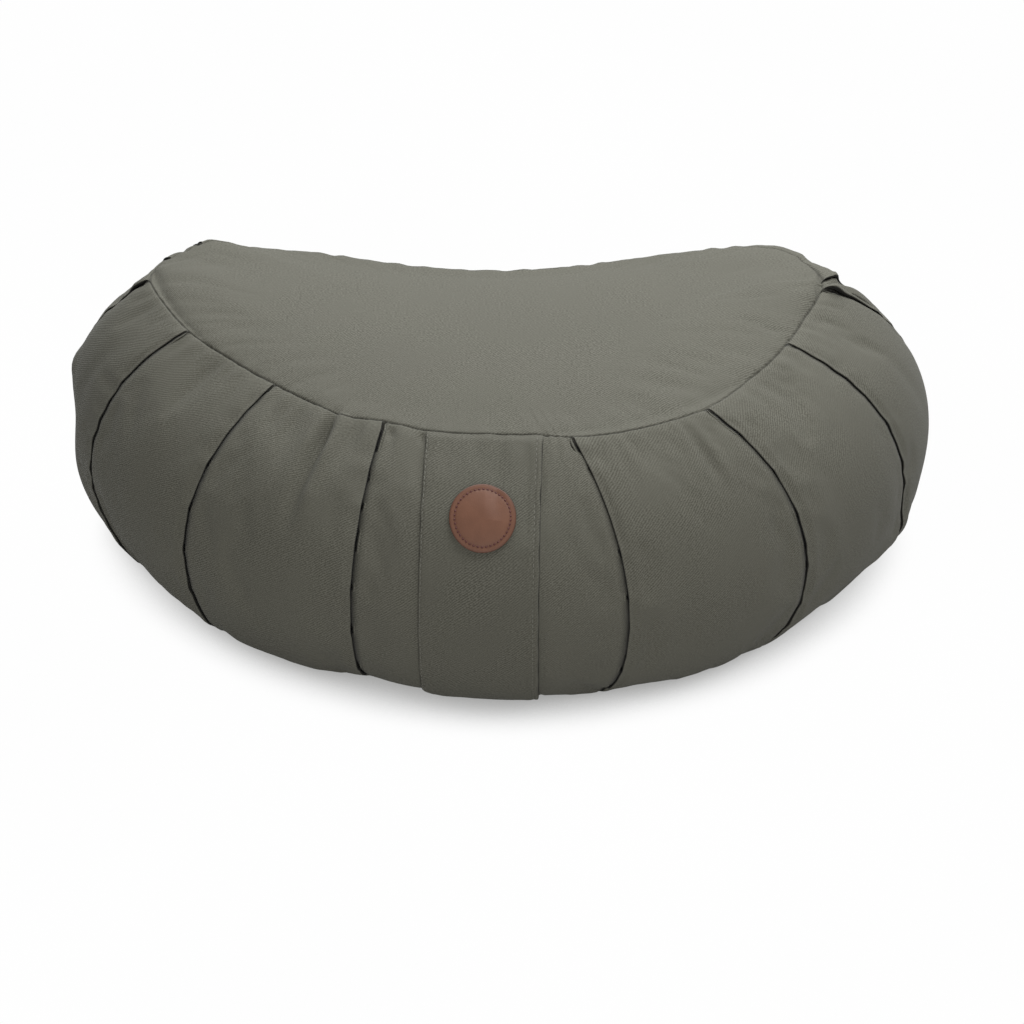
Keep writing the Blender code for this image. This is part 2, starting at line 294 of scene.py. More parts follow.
SEAM_SHADE = (
    (-299.0, 0.5), (-240.0, 0.6), (-185.0, 0.75), (-117.0, 0.8), (-75.0, 1.0), (-51.0, 0.95), (-44.0, 0.5),
    (-30.0, 0.6), (-20.0, 0.85), (28.0, 0.8), (40.0, 0.5), (46.0, 0.95), (80.0, 0.7), (100.0, 0.45),
    (186.0, 0.45), (245.0, 0.5), (300.0, 0.7),
)

SEAM_WANDER = (
    (-350.0, 0.0), (-325.0, -2.5), (-300.0, -5.0), (-280.0, -6.0), (-264.0, -4.0), (-252.0, 0.5), (-238.4, 4.8), (-212.0, 2.8), (-183.1, 2.0), (-150.8, -0.9), (-118.0, -1.0),
    (-93.1, 0.7), (-71.3, 2.3), (-61.1, 0.2), (-49.5, -2.3), (-37.3, -1.5), (-28.1, -0.5), (1.4, -2.2),
    (30.2, 0.3), (44.0, 4.6), (62.5, 6.2), (99.2, 6.6), (114.6, 7.0), (148.3, 1.0), (186.6, -1.6),
    (213.0, -1.9), (242.9, 2.1), (252.0, 0.9), (261.0, -2.6), (270.0, -6.3), (280.0, -6.2), (290.0, -4.0),
    (300.0, -1.2), (320.0, 0.0),
)


@dataclass(frozen=True)
class Ripples:
    """Uneven waves over a closed loop, the sum of a few seeded ones whose lengths suit cloth."""

    seed: int
    shortest: float
    longest: float
    stretch: float
    height: float
    count: int = 12

    def relief(self, along: np.ndarray, across: np.ndarray, loop: float) -> np.ndarray:
        """Works out the waves.

        Args:
            along: lengths along the loop.
            across: lengths square to it, in which the waves are stretched.
            loop: the loop's whole length, which the waves close over.

        Returns:
            Heights, as far as the waves' own height from zero at the most.
        """
        draws = np.random.default_rng(self.seed)
        total = np.zeros(np.broadcast(along, across).shape)
        for _ in range(self.count):
            turns = round(loop / draws.uniform(self.shortest, self.longest))
            slant = draws.uniform(-1, 1) * 2 * math.pi / (self.stretch * draws.uniform(self.shortest, self.longest))
            phase = draws.uniform(0, 2 * math.pi)
            total = total + np.cos(2 * math.pi * turns * along / loop + slant * across + phase)
        return self.height * total / self.count * 1.8


@dataclass(frozen=True)
class CoverShape:
    """The filled cover's form before its pleats are folded: two outlines, their heights and a crown."""

    seam: Outline
    widest: Outline
    seam_height: float
    widest_height: float
    crown: float
    tip_rise: float
    shoulder: float = math.radians(28)
    base_draw: float = 0.78
    crown_power: float = 0.8
    crown_length_power: float = 4
    tip_power: float = 4
    panel_puff: float = 2.0 * MM
    puff_span: float = 90 * MM

    def seam_z(self, x: np.ndarray) -> np.ndarray:
        """The top seam's height, a little higher at the tips."""
        across = (x - self.seam.middle_x) / self.seam.half_width
        return self.seam_height + self.tip_rise * np.abs(across) ** self.tip_power

    def top_z(self, places: np.ndarray) -> np.ndarray:
        """The crowned top panel's height over places in the plane."""
        seam = self.seam
        across = np.clip((places[..., 0] - seam.middle_x) / seam.half_width, -1, 1)
        half_power = np.where(across > 0, seam.right_power, seam.left_power) / 2
        angles = np.arccos(np.sign(across) * np.abs(across) ** half_power)
        front = seam.points(-angles)[..., 1]
        back = seam.points(angles)[..., 1]
        share = np.clip((places[..., 1] - front) / np.maximum(back - front, MM), 0, 1)
        bow = (4 * share * (1 - share)) ** self.crown_power
        fade = np.sqrt(1 - np.abs(across) ** self.crown_length_power)
        return self.seam_z(places[..., 0]) + self.crown * bow * fade

    def sewn(self, on_seam: np.ndarray) -> np.ndarray:
        """Points on the top seam, which wanders in and out of its outline by listed lengths."""
        whole = self.seam.whole()
        centred = np.mod(on_seam + whole / 2, whole) - whole / 2
        table = np.array(SEAM_WANDER) * MM
        ease = 8 * MM * np.exp(-((centred / (90 * MM)) ** 2))
        wander = np.mean([np.interp(centred + k * ease, *table.T) for k in np.linspace(-1, 1, 9)], axis=0)
        step = 0.5 * MM
        ahead = self.seam.at(on_seam + step) - self.seam.at(on_seam - step)
        ahead = ahead / np.linalg.norm(ahead, axis=-1, keepdims=True)
        outwards = np.stack([ahead[..., 1], -ahead[..., 0]], axis=-1)
        return self.seam.at(on_seam) + wander[..., None] * outwards

    def puff(self, on_widest: np.ndarray, down: np.ndarray) -> np.ndarray:
        """How far the filling rounds each panel out between its pleats."""
        stops = [pleat.on_widest for pleat in PLEATS]
        stops = np.array([*stops, stops[0] + self.widest.whole()])
        loop = stops[0] + np.mod(on_widest - stops[0], self.widest.whole())
        number = np.clip(np.searchsorted(stops, loop, side="right") - 1, 0, len(PLEATS) - 1)
        span = stops[number + 1] - stops[number]
        share = (loop - stops[number]) / span
        height = self.panel_puff * np.minimum(1, span / self.puff_span)
        return height * np.sin(math.pi * share) ** 0.8 * np.sin(math.pi * np.clip(down / 2, 0, 1))

    def side(self, on_seam: np.ndarray, on_widest: np.ndarray, down: np.ndarray) -> np.ndarray:
        """Points on the smooth side.

        Args:
            on_seam: lengths along the top seam.
            on_widest: lengths along the widest line.
            down: 0 at the top seam, 1 at the widest line and 2 where the side meets the base.

        Returns:
            Points in the last axis.
        """
        seam, widest = self.sewn(on_seam), self.widest.at(on_widest)
        upper = self.shoulder + (math.pi / 2 - self.shoulder) * np.minimum(down, 1)
        lower = math.pi / 2 * np.maximum(down - 1, 0)
        out = (np.sin(upper) - math.sin(self.shoulder)) / (1 - math.sin(self.shoulder))
        out = out - self.base_draw * (1 - np.cos(lower))
        rise = np.cos(upper) / math.cos(self.shoulder)
        low = self.widest_height * (1 - np.sin(lower))
        height = low + (self.seam_z(seam[..., 0]) - self.widest_height) * rise
        flat = seam + out[..., None] * (widest - seam)
        height = np.broadcast_to(height, flat.shape[:-1])
        return np.concatenate([flat, height[..., None]], axis=-1)

    def side_frame(
        self, on_seam: np.ndarray, on_widest: np.ndarray, down: np.ndarray
    ) -> tuple[np.ndarray, np.ndarray]:
        """Points on the smooth side, and its outward normals there."""
        step = 0.4 * MM
        turn = 0.004
        points = self.side(on_seam, on_widest, down)
        right = self.side(on_seam + step, on_widest + step, down)
        left = self.side(on_seam - step, on_widest - step, down)
        below = self.side(on_seam, on_widest, down + turn)
        above = self.side(on_seam, on_widest, down - turn)
        normals = np.cross(below - above, right - left)
        return points, normals / np.linalg.norm(normals, axis=-1, keepdims=True)

    def side_ruler(self) -> tuple[np.ndarray, np.ndarray]:
        """Places down the front of the side, and the length from the seam to each."""
        down = np.linspace(0, 2, 801)
        steps = np.linalg.norm(np.diff(self.side(np.zeros(801), np.zeros(801), down), axis=0), axis=1)
        return down, np.concatenate([[0.0], np.cumsum(steps)])

    def seam_for(self, on_widest: np.ndarray) -> np.ndarray:
        """The length along the top seam that belongs to a length along the widest line."""
        pairs = sorted([(pleat.on_widest, pleat.on_seam) for pleat in PLEATS] + [end[::-1] for end in BAND_ENDS])
        first = pairs[0]
        pairs.append((first[0] + self.widest.whole(), first[1] + self.seam.whole()))
        widest, seam = zip(*pairs)
        return np.interp(on_widest, widest, seam)


@dataclass(frozen=True)
class Pressed:
    """How far the filling pressed out the side and the top, on two coarse grids."""

    loop: np.ndarray
    down: np.ndarray
    side: np.ndarray
    shares: np.ndarray
    top: np.ndarray

    @staticmethod
    def _between(grid: np.ndarray, rows: np.ndarray, columns: np.ndarray) -> np.ndarray:
        """Reads a grid between its rows and columns."""
        r = np.clip(rows.astype(int), 0, grid.shape[0] - 2)
        c = np.clip(columns.astype(int), 0, grid.shape[1] - 2)
        u, v = np.clip(columns - c, 0, 1), np.clip(rows - r, 0, 1)
        upper = grid[r, c] * (1 - u) + grid[r, c + 1] * u
        lower = grid[r + 1, c] * (1 - u) + grid[r + 1, c + 1] * u
        return upper * (1 - v) + lower * v

    def side_relief(self, on_widest: np.ndarray, down: np.ndarray) -> np.ndarray:
        """The side's relief at places on it."""
        columns = np.interp(on_widest, self.loop, np.arange(len(self.loop)))
        rows = np.interp(down, self.down, np.arange(len(self.down)))
        columns, rows = np.broadcast_arrays(columns, rows)
        return self._between(self.side, rows, columns)

    def top_relief(self, on_widest: np.ndarray, shares: np.ndarray) -> np.ndarray:
        """The top's relief at shares of the way from its middle to the seam."""
        columns = np.interp(on_widest, self.loop, np.arange(len(self.loop)))
        rows = np.interp(shares, self.shares, np.arange(len(self.shares)))
        columns, rows = np.broadcast_arrays(columns, rows)
        return self._between(self.top, rows, columns)


@dataclass
class FillingRun:
    """A short cloth run: the cover without its folds, held at its seams and pleats, is blown out."""

    shape: CoverShape
    column_pitch: float = 5.2 * MM
    side_rings: int = 34
    top_rings: int = 14
    pressure: float = 4.0
    ease: float = 0.012
    frames: int = 20
    cap: float = 5.0 * MM

    def columns(self) -> tuple[np.ndarray, np.ndarray]:
        """Lengths round the widest line, with one at each pleat, and marks for those."""
        stops = [pleat.on_widest for pleat in PLEATS]
        stops.append(stops[0] + self.shape.widest.whole())
        loop, held = [], []
        for first, last in zip(stops, stops[1:]):
            count = max(4, round((last - first) / self.column_pitch))
            loop.extend(np.linspace(first, last, count + 1)[:-1])
            held.extend([True] + [False] * (count - 1))
        return np.array(loop), np.array(held)

    def run(self) -> Pressed:
        """Builds the coarse cover, runs the cloth and reads how far it moved along its normals."""
        loop, held = self.columns()
        on_seam = self.shape.seam_for(loop)
        down = np.linspace(0, 2, self.side_rings)
        side, side_normals = self.shape.side_frame(on_seam[None], loop[None], down[:, None])
        seam = side[0, :, :2]
        middle = self.shape.seam.middle()
        shares = np.linspace(0.06, 1, self.top_rings + 1)[:-1]
        flat = middle + shares[:, None, None] * (seam - middle)
        top = np.concatenate([flat, self.shape.top_z(flat)[..., None]], axis=-1)
        inner = middle + 0.5 * (side[-1, :, :2] - middle)
        base = np.concatenate([inner, np.zeros((len(loop), 1))], axis=-1)[None]
        rings = np.concatenate([top, side, base])
        rows, count = rings.shape[:2]
        faces = ring_faces(rows, count)
        faces.append(tuple(range(count)))
        faces.append(tuple((rows - 1) * count + k for k in reversed(range(count))))
        data = bpy.data.meshes.new("filling_run")
        data.from_pydata(rings.reshape(-1, 3).tolist(), [], faces)
        piece = bpy.data.objects.new("filling_run", data)
        bpy.context.scene.collection.objects.link(piece)

        first_side = self.top_rings
        pins = piece.vertex_groups.new(name="held")
        sewn = [first_side * count + k for k in range(count)]
        sewn += [(rows - 2) * count + k for k in range(count)]
        sewn += [(rows - 1) * count + k for k in range(count)]
        pins.add(sewn, 1.0, "REPLACE")
        folded = [r * count + k for r in range(first_side + 1, rows - 2) for k in np.flatnonzero(held)]
        pins.add([int(k) for k in folded], 0.6, "REPLACE")

        cloth = piece.modifiers.new("Cloth", "CLOTH").settings
        cloth.quality = 6
        cloth.mass = 0.25
        cloth.tension_stiffness = cloth.compression_stiffness = 12
        cloth.shear_stiffness = 6
        cloth.bending_stiffness = 0.6
        cloth.vertex_group_mass = "held"
        cloth.pin_stiffness = 1.0
        cloth.shrink_min = -self.ease
        cloth.use_pressure = True
        cloth.uniform_pressure_force = self.pressure
        cloth.effector_weights.gravity = 0
        scene = bpy.context.scene
        for number in range(1, self.frames + 1):
            scene.frame_set(number)
        shown = piece.evaluated_get(bpy.context.evaluated_depsgraph_get())
        moved = np.zeros(rows * count * 3, np.float32)
        shown.data.vertices.foreach_get("co", moved)
        scene.frame_set(1)
        bpy.data.objects.remove(piece, do_unlink=True)
        shift = moved.reshape(rows, count, 3).astype(float) - rings
        outwards = np.clip(
            (shift[first_side : rows - 1] * side_normals).sum(axis=-1), -self.cap, self.cap
        )
        upwards = np.clip(shift[: first_side + 1, :, 2], -self.cap, self.cap)
        LOG.info(
            "filling run: %d points, side moved %.1f to %.1f mm, top %.1f to %.1f mm", rows * count,
            outwards.min() / MM, outwards.max() / MM, upwards.min() / MM, upwards.max() / MM,
        )
        whole = np.concatenate([loop, loop[:1] + self.shape.widest.whole()])
        return Pressed(
            loop=whole, down=down, side=np.concatenate([outwards, outwards[:, :1]], axis=1),
            shares=np.concatenate([shares, [1.0]]), top=np.concatenate([upwards, upwards[:, :1]], axis=1),
        )


def ring_faces(rows: int, count: int) -> list[tuple[int, int, int, int]]:
    """Quads that join closed rings of points, the first ring on top."""
    faces = []
    for r in range(rows - 1):
        for k in range(count):
            after = (k + 1) % count
            faces.append((r * count + k, (r + 1) * count + k, (r + 1) * count + after, r * count + after))
    return faces


@dataclass(frozen=True)
class Relief:
    """Everything that raises or sinks the cloth but its folds: filling, creases, seams and unevenness."""

    shape: CoverShape
    pressed: Pressed
    seam_depth: float = 0.8 * MM
    seam_half: float = 0.42 * MM
    # The half width of the seams' painted shade line.
    seam_shade: float = 0.30 * MM
    roll: float = 0.45 * MM
    top_roll: float = 0.12 * MM
    top_calm: float = 0.45
    roll_at: float = 5.0 * MM
    broad: Ripples = Ripples(seed=5, shortest=0.05, longest=0.13, stretch=2.2, height=0.9 * MM)
    gathers: Ripples = Ripples(seed=8, shortest=0.011, longest=0.026, stretch=5.0, height=0.55 * MM)
    gather_reach: float = 0.020
    top_gathers: Ripples = Ripples(seed=12, shortest=0.012, longest=0.03, stretch=6.0, height=0.12 * MM)
    pucker: Ripples = Ripples(seed=21, shortest=0.006, longest=0.011, stretch=30.0, height=0.22 * MM)

    def seam_channel(self, off: np.ndarray, height: float) -> np.ndarray:
        """The sewn channel's depth, and the roll of cloth of that height beside it, at lengths off a seam."""
        channel = -self.seam_depth * np.exp(-((off / self.seam_half) ** 2))
        roll = height * (off / self.roll_at) * np.exp(1 - off / self.roll_at)
        return channel + roll

    def seam_painted_shade(self, on_widest: np.ndarray, off: np.ndarray) -> np.ndarray:
        """How dark a seam line is painted for its shade, from 0 to 1, uneven along it."""
        table = np.array(SEAM_SHADE)
        whole = self.shape.seam.whole()
        on_seam = np.mod(self.shape.seam_for(on_widest) + whole / 2, whole) - whole / 2
        shade = np.interp(on_seam, table[:, 0] * MM, table[:, 1])
        shade = shade * (0.85 + 0.3 * np.sin(2 * math.pi * on_seam / (3.4 * MM)))
        return np.exp(-((off / self.seam_shade) ** 2)) * np.clip(shade, 0.2, 1)

    def side(self, on_widest: np.ndarray, down: np.ndarray) -> np.ndarray:
        """The side's relief at places on it."""
        places, ruler = self.shape.side_ruler()
        off = np.interp(down, places, ruler)
        to_base = ruler[-1] - off
        loop = self.shape.widest.whole()
        total = self.pressed.side_relief(on_widest, down) + self.shape.puff(on_widest, down)
        total = total + self.seam_channel(off, self.roll)
        total = total + self.broad.relief(on_widest, off, loop) * np.sin(math.pi * np.clip(down / 2, 0, 1))
        near = np.exp(-off / self.gather_reach) + 0.8 * np.exp(-to_base / self.gather_reach)
        total = total + self.gathers.relief(on_widest, off, loop) * near
        total = total + self.pucker.relief(on_widest, off, loop) * np.exp(-off / (2 * MM))
        turned = np.mod(on_widest + loop / 2, loop) - loop / 2
        spot = np.stack(np.broadcast_arrays(turned, off), axis=-1)
        for one in SIDE_CREASES:
            total = total + one.relief(spot)
        return total

    def top(self, on_widest: np.ndarray, shares: np.ndarray, places: np.ndarray, off: np.ndarray) -> np.ndarray:
        """The top's relief, from each place's share of the way out and its length off the seam."""
        loop = self.shape.widest.whole()
        total = self.top_calm * self.pressed.top_relief(on_widest, shares) + self.seam_channel(off, self.top_roll)
        total = total + self.top_gathers.relief(on_widest, off, loop) * np.exp(-off / (14 * MM))
        total = total + 0.28 * self.pucker.relief(on_widest, off, loop) * np.exp(-off / (2 * MM))
        wide = Ripples(seed=31, shortest=0.09, longest=0.2, stretch=1.0, height=0.8 * MM, count=9)
        inner = np.clip(off / 0.04, 0, 1)
        total = total + wide.relief(places[..., 0], places[..., 1], 1.0) * inner
        for one in TOP_CREASES:
            total = total + one.relief(places)
        return total


@dataclass
class Columns:
    """The cover's columns, as arrays: places, slides into a fold, and how its stand lifts each."""

    on_seam: np.ndarray
    on_widest: np.ndarray
    slide: np.ndarray
    spread: np.ndarray
    fold: np.ndarray
    share: np.ndarray
    lift: np.ndarray
    panel: np.ndarray
    # How dark the column is painted for the fold's shade, from 0 to 1.
    painted_shade: np.ndarray


@dataclass
class Cover:
    """The sewn and filled cover, one closed mesh of a top panel, a pleated side and a base panel."""

    shape: CoverShape
    relief: Relief
    name: str = "cushion_cover"
    pitch: float = 2.35 * MM
    ring_pitch: float = 2.2 * MM
    lift_reach: float = 26 * MM
    under_layer: float = 0.45 * MM
    under_reach: float = 22 * MM
    settle: float = 6 * MM
    top_near: tuple[float, ...] = (9.6, 7.0, 4.9, 3.2, 2.0, 1.2, 0.65, 0.28)
    spread: float = 0.12 * MM
    swing_at: float = -185 * MM
    swing_reach: float = 24 * MM
    swing_length: float = 6.5 * MM

    def columns(self) -> Columns:
        """Lays out the columns from under the first pleat, round the front and back to it."""
        rows: list[tuple[float, ...]] = []
        loop_widest, loop_seam = self.shape.widest.whole(), self.shape.seam.whole()
        stops = [(k, pleat.on_seam, pleat.on_widest) for k, pleat in enumerate(PLEATS)]
        stops.append((0, PLEATS[0].on_seam + loop_seam, PLEATS[0].on_widest + loop_widest))
        for number, (first, last) in enumerate(zip(stops, stops[1:])):
            over_first = PLEATS[first[0]].on_seam > 0
            over_last = PLEATS[last[0]].on_seam < 0
            rows += self._fold(first, FoldHalf.OVER if over_first else FoldHalf.UNDER, number, 1 if over_first else -1)
            rows += self._plain(first, last, over_first, over_last, number)
            rows += self._fold(last, FoldHalf.OVER if over_last else FoldHalf.UNDER, number, -1 if over_last else 1)
        table = np.array(rows)
        return Columns(*(table[:, k] for k in range(table.shape[1])))

    def _fold(self, stop: tuple, half: FoldHalf, number: int, outer: int) -> list[tuple[float, ...]]:
        """A half fold's columns, from left to right.

        Args:
            stop: the pleat's number, and its places on the seam and the widest line.
            half: which half of the fold this panel has.
            number: the panel's number.
            outer: +1 if the half runs from the fold's turn out to the right, -1 to the left.
        """
        index, on_seam, on_widest = stop
        towards_band = 1 if PLEATS[index].on_seam < 0 else -1
        made = []
        for step, (slide, share, lift, painted_shade) in enumerate(half.value):
            place = step if half is FoldHalf.OVER else step + len(FoldHalf.OVER.value)
            middle = (len(FoldHalf.OVER.value) + len(FoldHalf.UNDER.value) - 1) / 2
            spread = (place - middle) * self.spread * towards_band
            row = (on_seam, on_widest, slide * MM * towards_band, spread, index, share, lift * MM, number, painted_shade)
            made.append(row)
        runs_out = (half is FoldHalf.OVER) == (outer < 0)
        return made if runs_out else made[::-1]

    def _plain(self, first: tuple, last: tuple, over_first: bool, over_last: bool, number: int) -> list[tuple[float, ...]]:
        """The columns between a panel's two fold halves."""
        start = 4.6 * MM
        span = last[2] - first[2]
        count = round((span - 2 * start) / self.pitch)
        made = []
        lengths = list(np.linspace(first[2] + start, last[2] - start, count + 1))
        for (_, end), side in zip(BAND_ENDS, (-1, 1)):
            if first[2] < end < last[2]:
                lengths = [length for length in lengths if abs(length - end - side * 0.8 * MM) > 1.7 * MM]
                lengths += [end + side * beyond * MM for beyond in (-0.6, 0.1, 0.45, 0.9, 1.6)]
        for on_widest in sorted(lengths):
            on_seam = float(self.shape.seam_for(on_widest))
            nearer_first = on_widest - first[2] < span / 2
            from_edge = min(on_widest - first[2], last[2] - on_widest)
            is_over = over_first if nearer_first else over_last
            fold = first[0] if nearer_first else last[0]
            share = max(0.0, 1 - from_edge / self.lift_reach) ** 1.5 if is_over else 0.0
            made.append((on_seam, on_widest, 0.0, 0.0, fold, share, 0.0, number, 0.0))
        return made

    def side_rings(self) -> np.ndarray:
        """The side's rings, as lengths from the top seam."""
        whole = self.shape.side_ruler()[1][-1]
        near = np.array([0, 0.25, 0.55, 0.95, 1.6, 2.5, 3.7, 5.2, 6.7]) * MM
        start = 8.2 * MM
        return np.concatenate([near, np.linspace(start, whole, round((whole - start) / self.ring_pitch))])

    def side_grid(self, columns: Columns) -> np.ndarray:
        """The folded side's points, rings by columns."""
        places, ruler = self.shape.side_ruler()
        off = self.side_rings()[:, None]
        down = np.interp(off, ruler, places)
        settled = smooth_step(off / self.settle) * smooth_step((ruler[-1] - off) / (1.4 * self.settle))
        slide = columns.spread + settled * (columns.slide - columns.spread)
        slide = slide + self.swing(columns.on_seam, down)
        on_seam, on_widest = columns.on_seam + slide, columns.on_widest + slide
        points, normals = self.shape.side_frame(on_seam, on_widest, down)
        stands = np.stack([pleat.stand(down[:, 0], off[:, 0]) for pleat in PLEATS])
        wobble = self.fold_wobble(off[:, 0])
        stands = (stands * wobble)[columns.fold.astype(int)].T
        height = self.relief.side(columns.on_widest, down)
        height = height + columns.share * stands + settled * columns.lift
        points = points + normals * height[..., None]
        points[..., 2] = np.maximum(points[..., 2], 0.0)
        points[-1, :, 2] = 0.0
        return points

    def swing(self, on_seam: np.ndarray, down: np.ndarray) -> np.ndarray:
        """How far the cloth was sewn off to one side, low down by the left outer pleat."""
        near = np.exp(-(((on_seam - self.swing_at) / self.swing_reach) ** 2))
        return self.swing_length * near * smooth_step((down - 0.95) / 0.55)

    def fold_wobble(self, off: np.ndarray) -> np.ndarray:
        """An uneven share for each pleat's stand, down its fold edge."""
        rows = []
        for number in range(len(PLEATS)):
            waves = Ripples(seed=60 + number, shortest=0.03, longest=0.09, stretch=9.0, height=0.13, count=6)
            rows.append(1 + waves.relief(off, np.zeros(1), 0.5))
        return np.stack(rows)

    def top_grid(self, on_seam: np.ndarray, on_widest: np.ndarray) -> np.ndarray:
        """The top panel's points, rings by columns, from its middle out to just inside the seam.

        Args:
            on_seam: its columns' places on the seam.
            on_widest: the same columns' places on the widest line.
        """
        start = np.zeros_like(on_seam)
        seam, normals = self.shape.side_frame(on_seam, on_widest, start)
        seam = seam + normals * self.relief.side(on_widest, start)[..., None]
        middle = self.shape.seam.middle()
        radius = np.linalg.norm(seam[:, :2] - middle, axis=1)
        near = np.array(self.top_near) * MM
        lip = 1 - 12 * MM / radius
        inner = np.linspace(0.05, 1.0, 34)[:, None] * lip
        shares = np.concatenate([inner, 1 - near[:, None] / radius])
        flat = middle + shares[..., None] * (seam[:, :2] - middle)
        off = (1 - shares) * radius
        height = self.shape.top_z(flat) + self.relief.top(on_widest, shares, flat, off)
        sewn = seam[:, 2] + self.relief.seam_depth
        lifted = sewn - self.shape.top_z(seam[:, :2])
        gap = np.abs(on_widest[:, None] - on_widest)
        gap = np.minimum(gap, self.shape.widest.whole() - gap)
        near_by = np.exp(-((gap / (9 * MM)) ** 2)) * np.maximum(np.gradient(on_widest), 0.1 * MM)
        broad = near_by @ lifted / near_by.sum(axis=1)
        height = height + np.exp(-off / (22 * MM)) * broad + np.exp(-off / (2.5 * MM)) * (lifted - broad)
        return np.concatenate([flat, height[..., None]], axis=-1)

    def base_grid(self, edge: np.ndarray) -> np.ndarray:
        """The base panel's points from its sewn channel inwards, flat where it rests."""
        middle = self.shape.seam.middle()
        rings = []
        for share, height in ((0.985, 0.9 * MM), (0.97, 1.6 * MM), (0.955, 0.9 * MM), (0.94, 0.0), (0.7, 0.0), (0.4, 0.0), (0.1, 0.0)):
            flat = middle + share * (edge[:, :2] - middle)
            rings.append(np.concatenate([flat, np.full((len(flat), 1), height)], axis=-1))
        return np.stack(rings)

    def build(self) -> bpy.types.Object:
        """Makes the closed mesh, with its cloth's own coordinates, its wear and painted highlight, and its painted
        shade.
        """
        columns = self.columns()
        side = self.side_grid(columns)
        fold_start = (columns.lift == 0) & (columns.share > 0)
        kept = np.flatnonzero((columns.slide == 0) | fold_start)
        top = self.top_grid(columns.on_seam[kept], columns.on_widest[kept])
        base = self.base_grid(side[-1, kept])
        mesh = PanelMesh()
        side_first = mesh.points(side)
        top_first = mesh.points(top)
        base_first = mesh.points(base)
        cloth = self.side_cloth(columns, side)
        every = np.arange(side.shape[1])
        mesh.rings(side_first, side.shape[:2], cloth)
        mesh.rings(top_first, top.shape[:2], top[..., :2])
        mesh.rings(base_first, base.shape[:2], base[..., :2] + 1.0)
        edge = side[0, :, :2]
        mesh.join(top_first + (len(top) - 1) * len(kept), top[-1, :, :2], kept, side_first, edge, every, False)
        low = side_first + (len(side) - 1) * side.shape[1]
        mesh.join(base_first, base[0, :, :2] + 1.0, kept, low, side[-1, :, :2] + 1.0, every, True)
        mesh.pole(top_first, top[0], top[0, :, :2], False)
        mesh.pole(base_first + (len(base) - 1) * len(kept), base[-1], base[-1, :, :2] + 1.0, True)
        # Painted shade in the folds, in the seams and beside the band's edges, kept as an attribute for the material.
        painted_shade = [self.side_painted_shade(columns).ravel(), self.top_painted_shade(columns.on_widest[kept], len(top)).ravel()]
        piece = mesh.piece(self.name, {"wear_and_highlight": self.side_wear_and_highlight(columns, side), "painted_shade": np.concatenate(painted_shade)})
        LOG.info("%s: %d rings of %d columns, %d of them on the top", self.name, len(side), len(every), len(kept))
        return piece

    def side_cloth(self, columns: Columns, side: np.ndarray) -> np.ndarray:
        """Each side panel's own coordinates in metres, so that the weave lies as the cloth was cut."""
        count = side.shape[1]
        along = np.zeros(side.shape[:2])
        for number in np.unique(columns.panel):
            own = np.flatnonzero(columns.panel == number)
            steps = np.linalg.norm(np.diff(side[:, own], axis=1), axis=-1)
            run = np.concatenate([np.zeros((len(side), 1)), np.cumsum(steps, axis=1)], axis=1)
            middle = len(own) // 2
            along[:, own] = run - run[:, middle : middle + 1] + columns.on_widest[own[middle]]
        steps = np.linalg.norm(np.diff(side[:, count // 2], axis=0), axis=-1)
        fall = np.concatenate([[0.0], np.cumsum(steps)])
        return np.stack([along, np.broadcast_to(-fall[:, None], along.shape)], axis=-1)

    def side_painted_shade(self, columns: Columns) -> np.ndarray:
        """How dark each point of the side is painted for the shade in its folds, its seams and beside the band's edges,
        from 0 to 1.
        """
        off = self.side_rings()[:, None]
        # Painted shade inside the folds.
        folded = columns.painted_shade
        settled = 0.85 + 0.15 * smooth_step(off / self.settle)
        # Painted shade along the top and base seams.
        sewn = self.relief.seam_painted_shade(columns.on_widest, off)
        sewn = np.maximum(sewn, self.relief.seam_painted_shade(columns.on_widest, off[-1] - off))
        # Painted shadow lines along the band's two edges.
        (_, left), (_, right) = BAND_ENDS
        beside = 0.9 * np.exp(-(((columns.on_widest - right) / (0.55 * MM)) ** 2))
        beside = beside + 0.7 * np.exp(-(((columns.on_widest - left) / (0.45 * MM)) ** 2))
        return np.maximum(np.maximum(folded * settled, sewn), beside)

    def top_painted_shade(self, on_widest: np.ndarray, rows: int) -> np.ndarray:
        """The same painted shade for the top panel, whose last rings lie close to the seam."""
        off = np.full((rows, 1), 1.0)
        off[-len(self.top_near) :, 0] = np.array(self.top_near) * MM
        return self.relief.seam_painted_shade(on_widest, off)

    def side_wear_and_highlight(self, columns: Columns, side: np.ndarray) -> np.ndarray:
        """How much each point of the side is lightened, partly as wear and partly as a painted highlight: most on fold
        edges, less beside the seam.
        """
        edge = np.exp(-((columns.slide / (1.4 * MM)) ** 2)) * (columns.share > 0.9) * (columns.slide != 0)
        worn_and_lit = np.repeat(edge[None], len(side), axis=0)
        # A painted highlight on the cloth rolling out beside the top seam.
        worn_and_lit[3:8] = np.maximum(worn_and_lit[3:8], 0.35)
        return worn_and_lit.ravel()


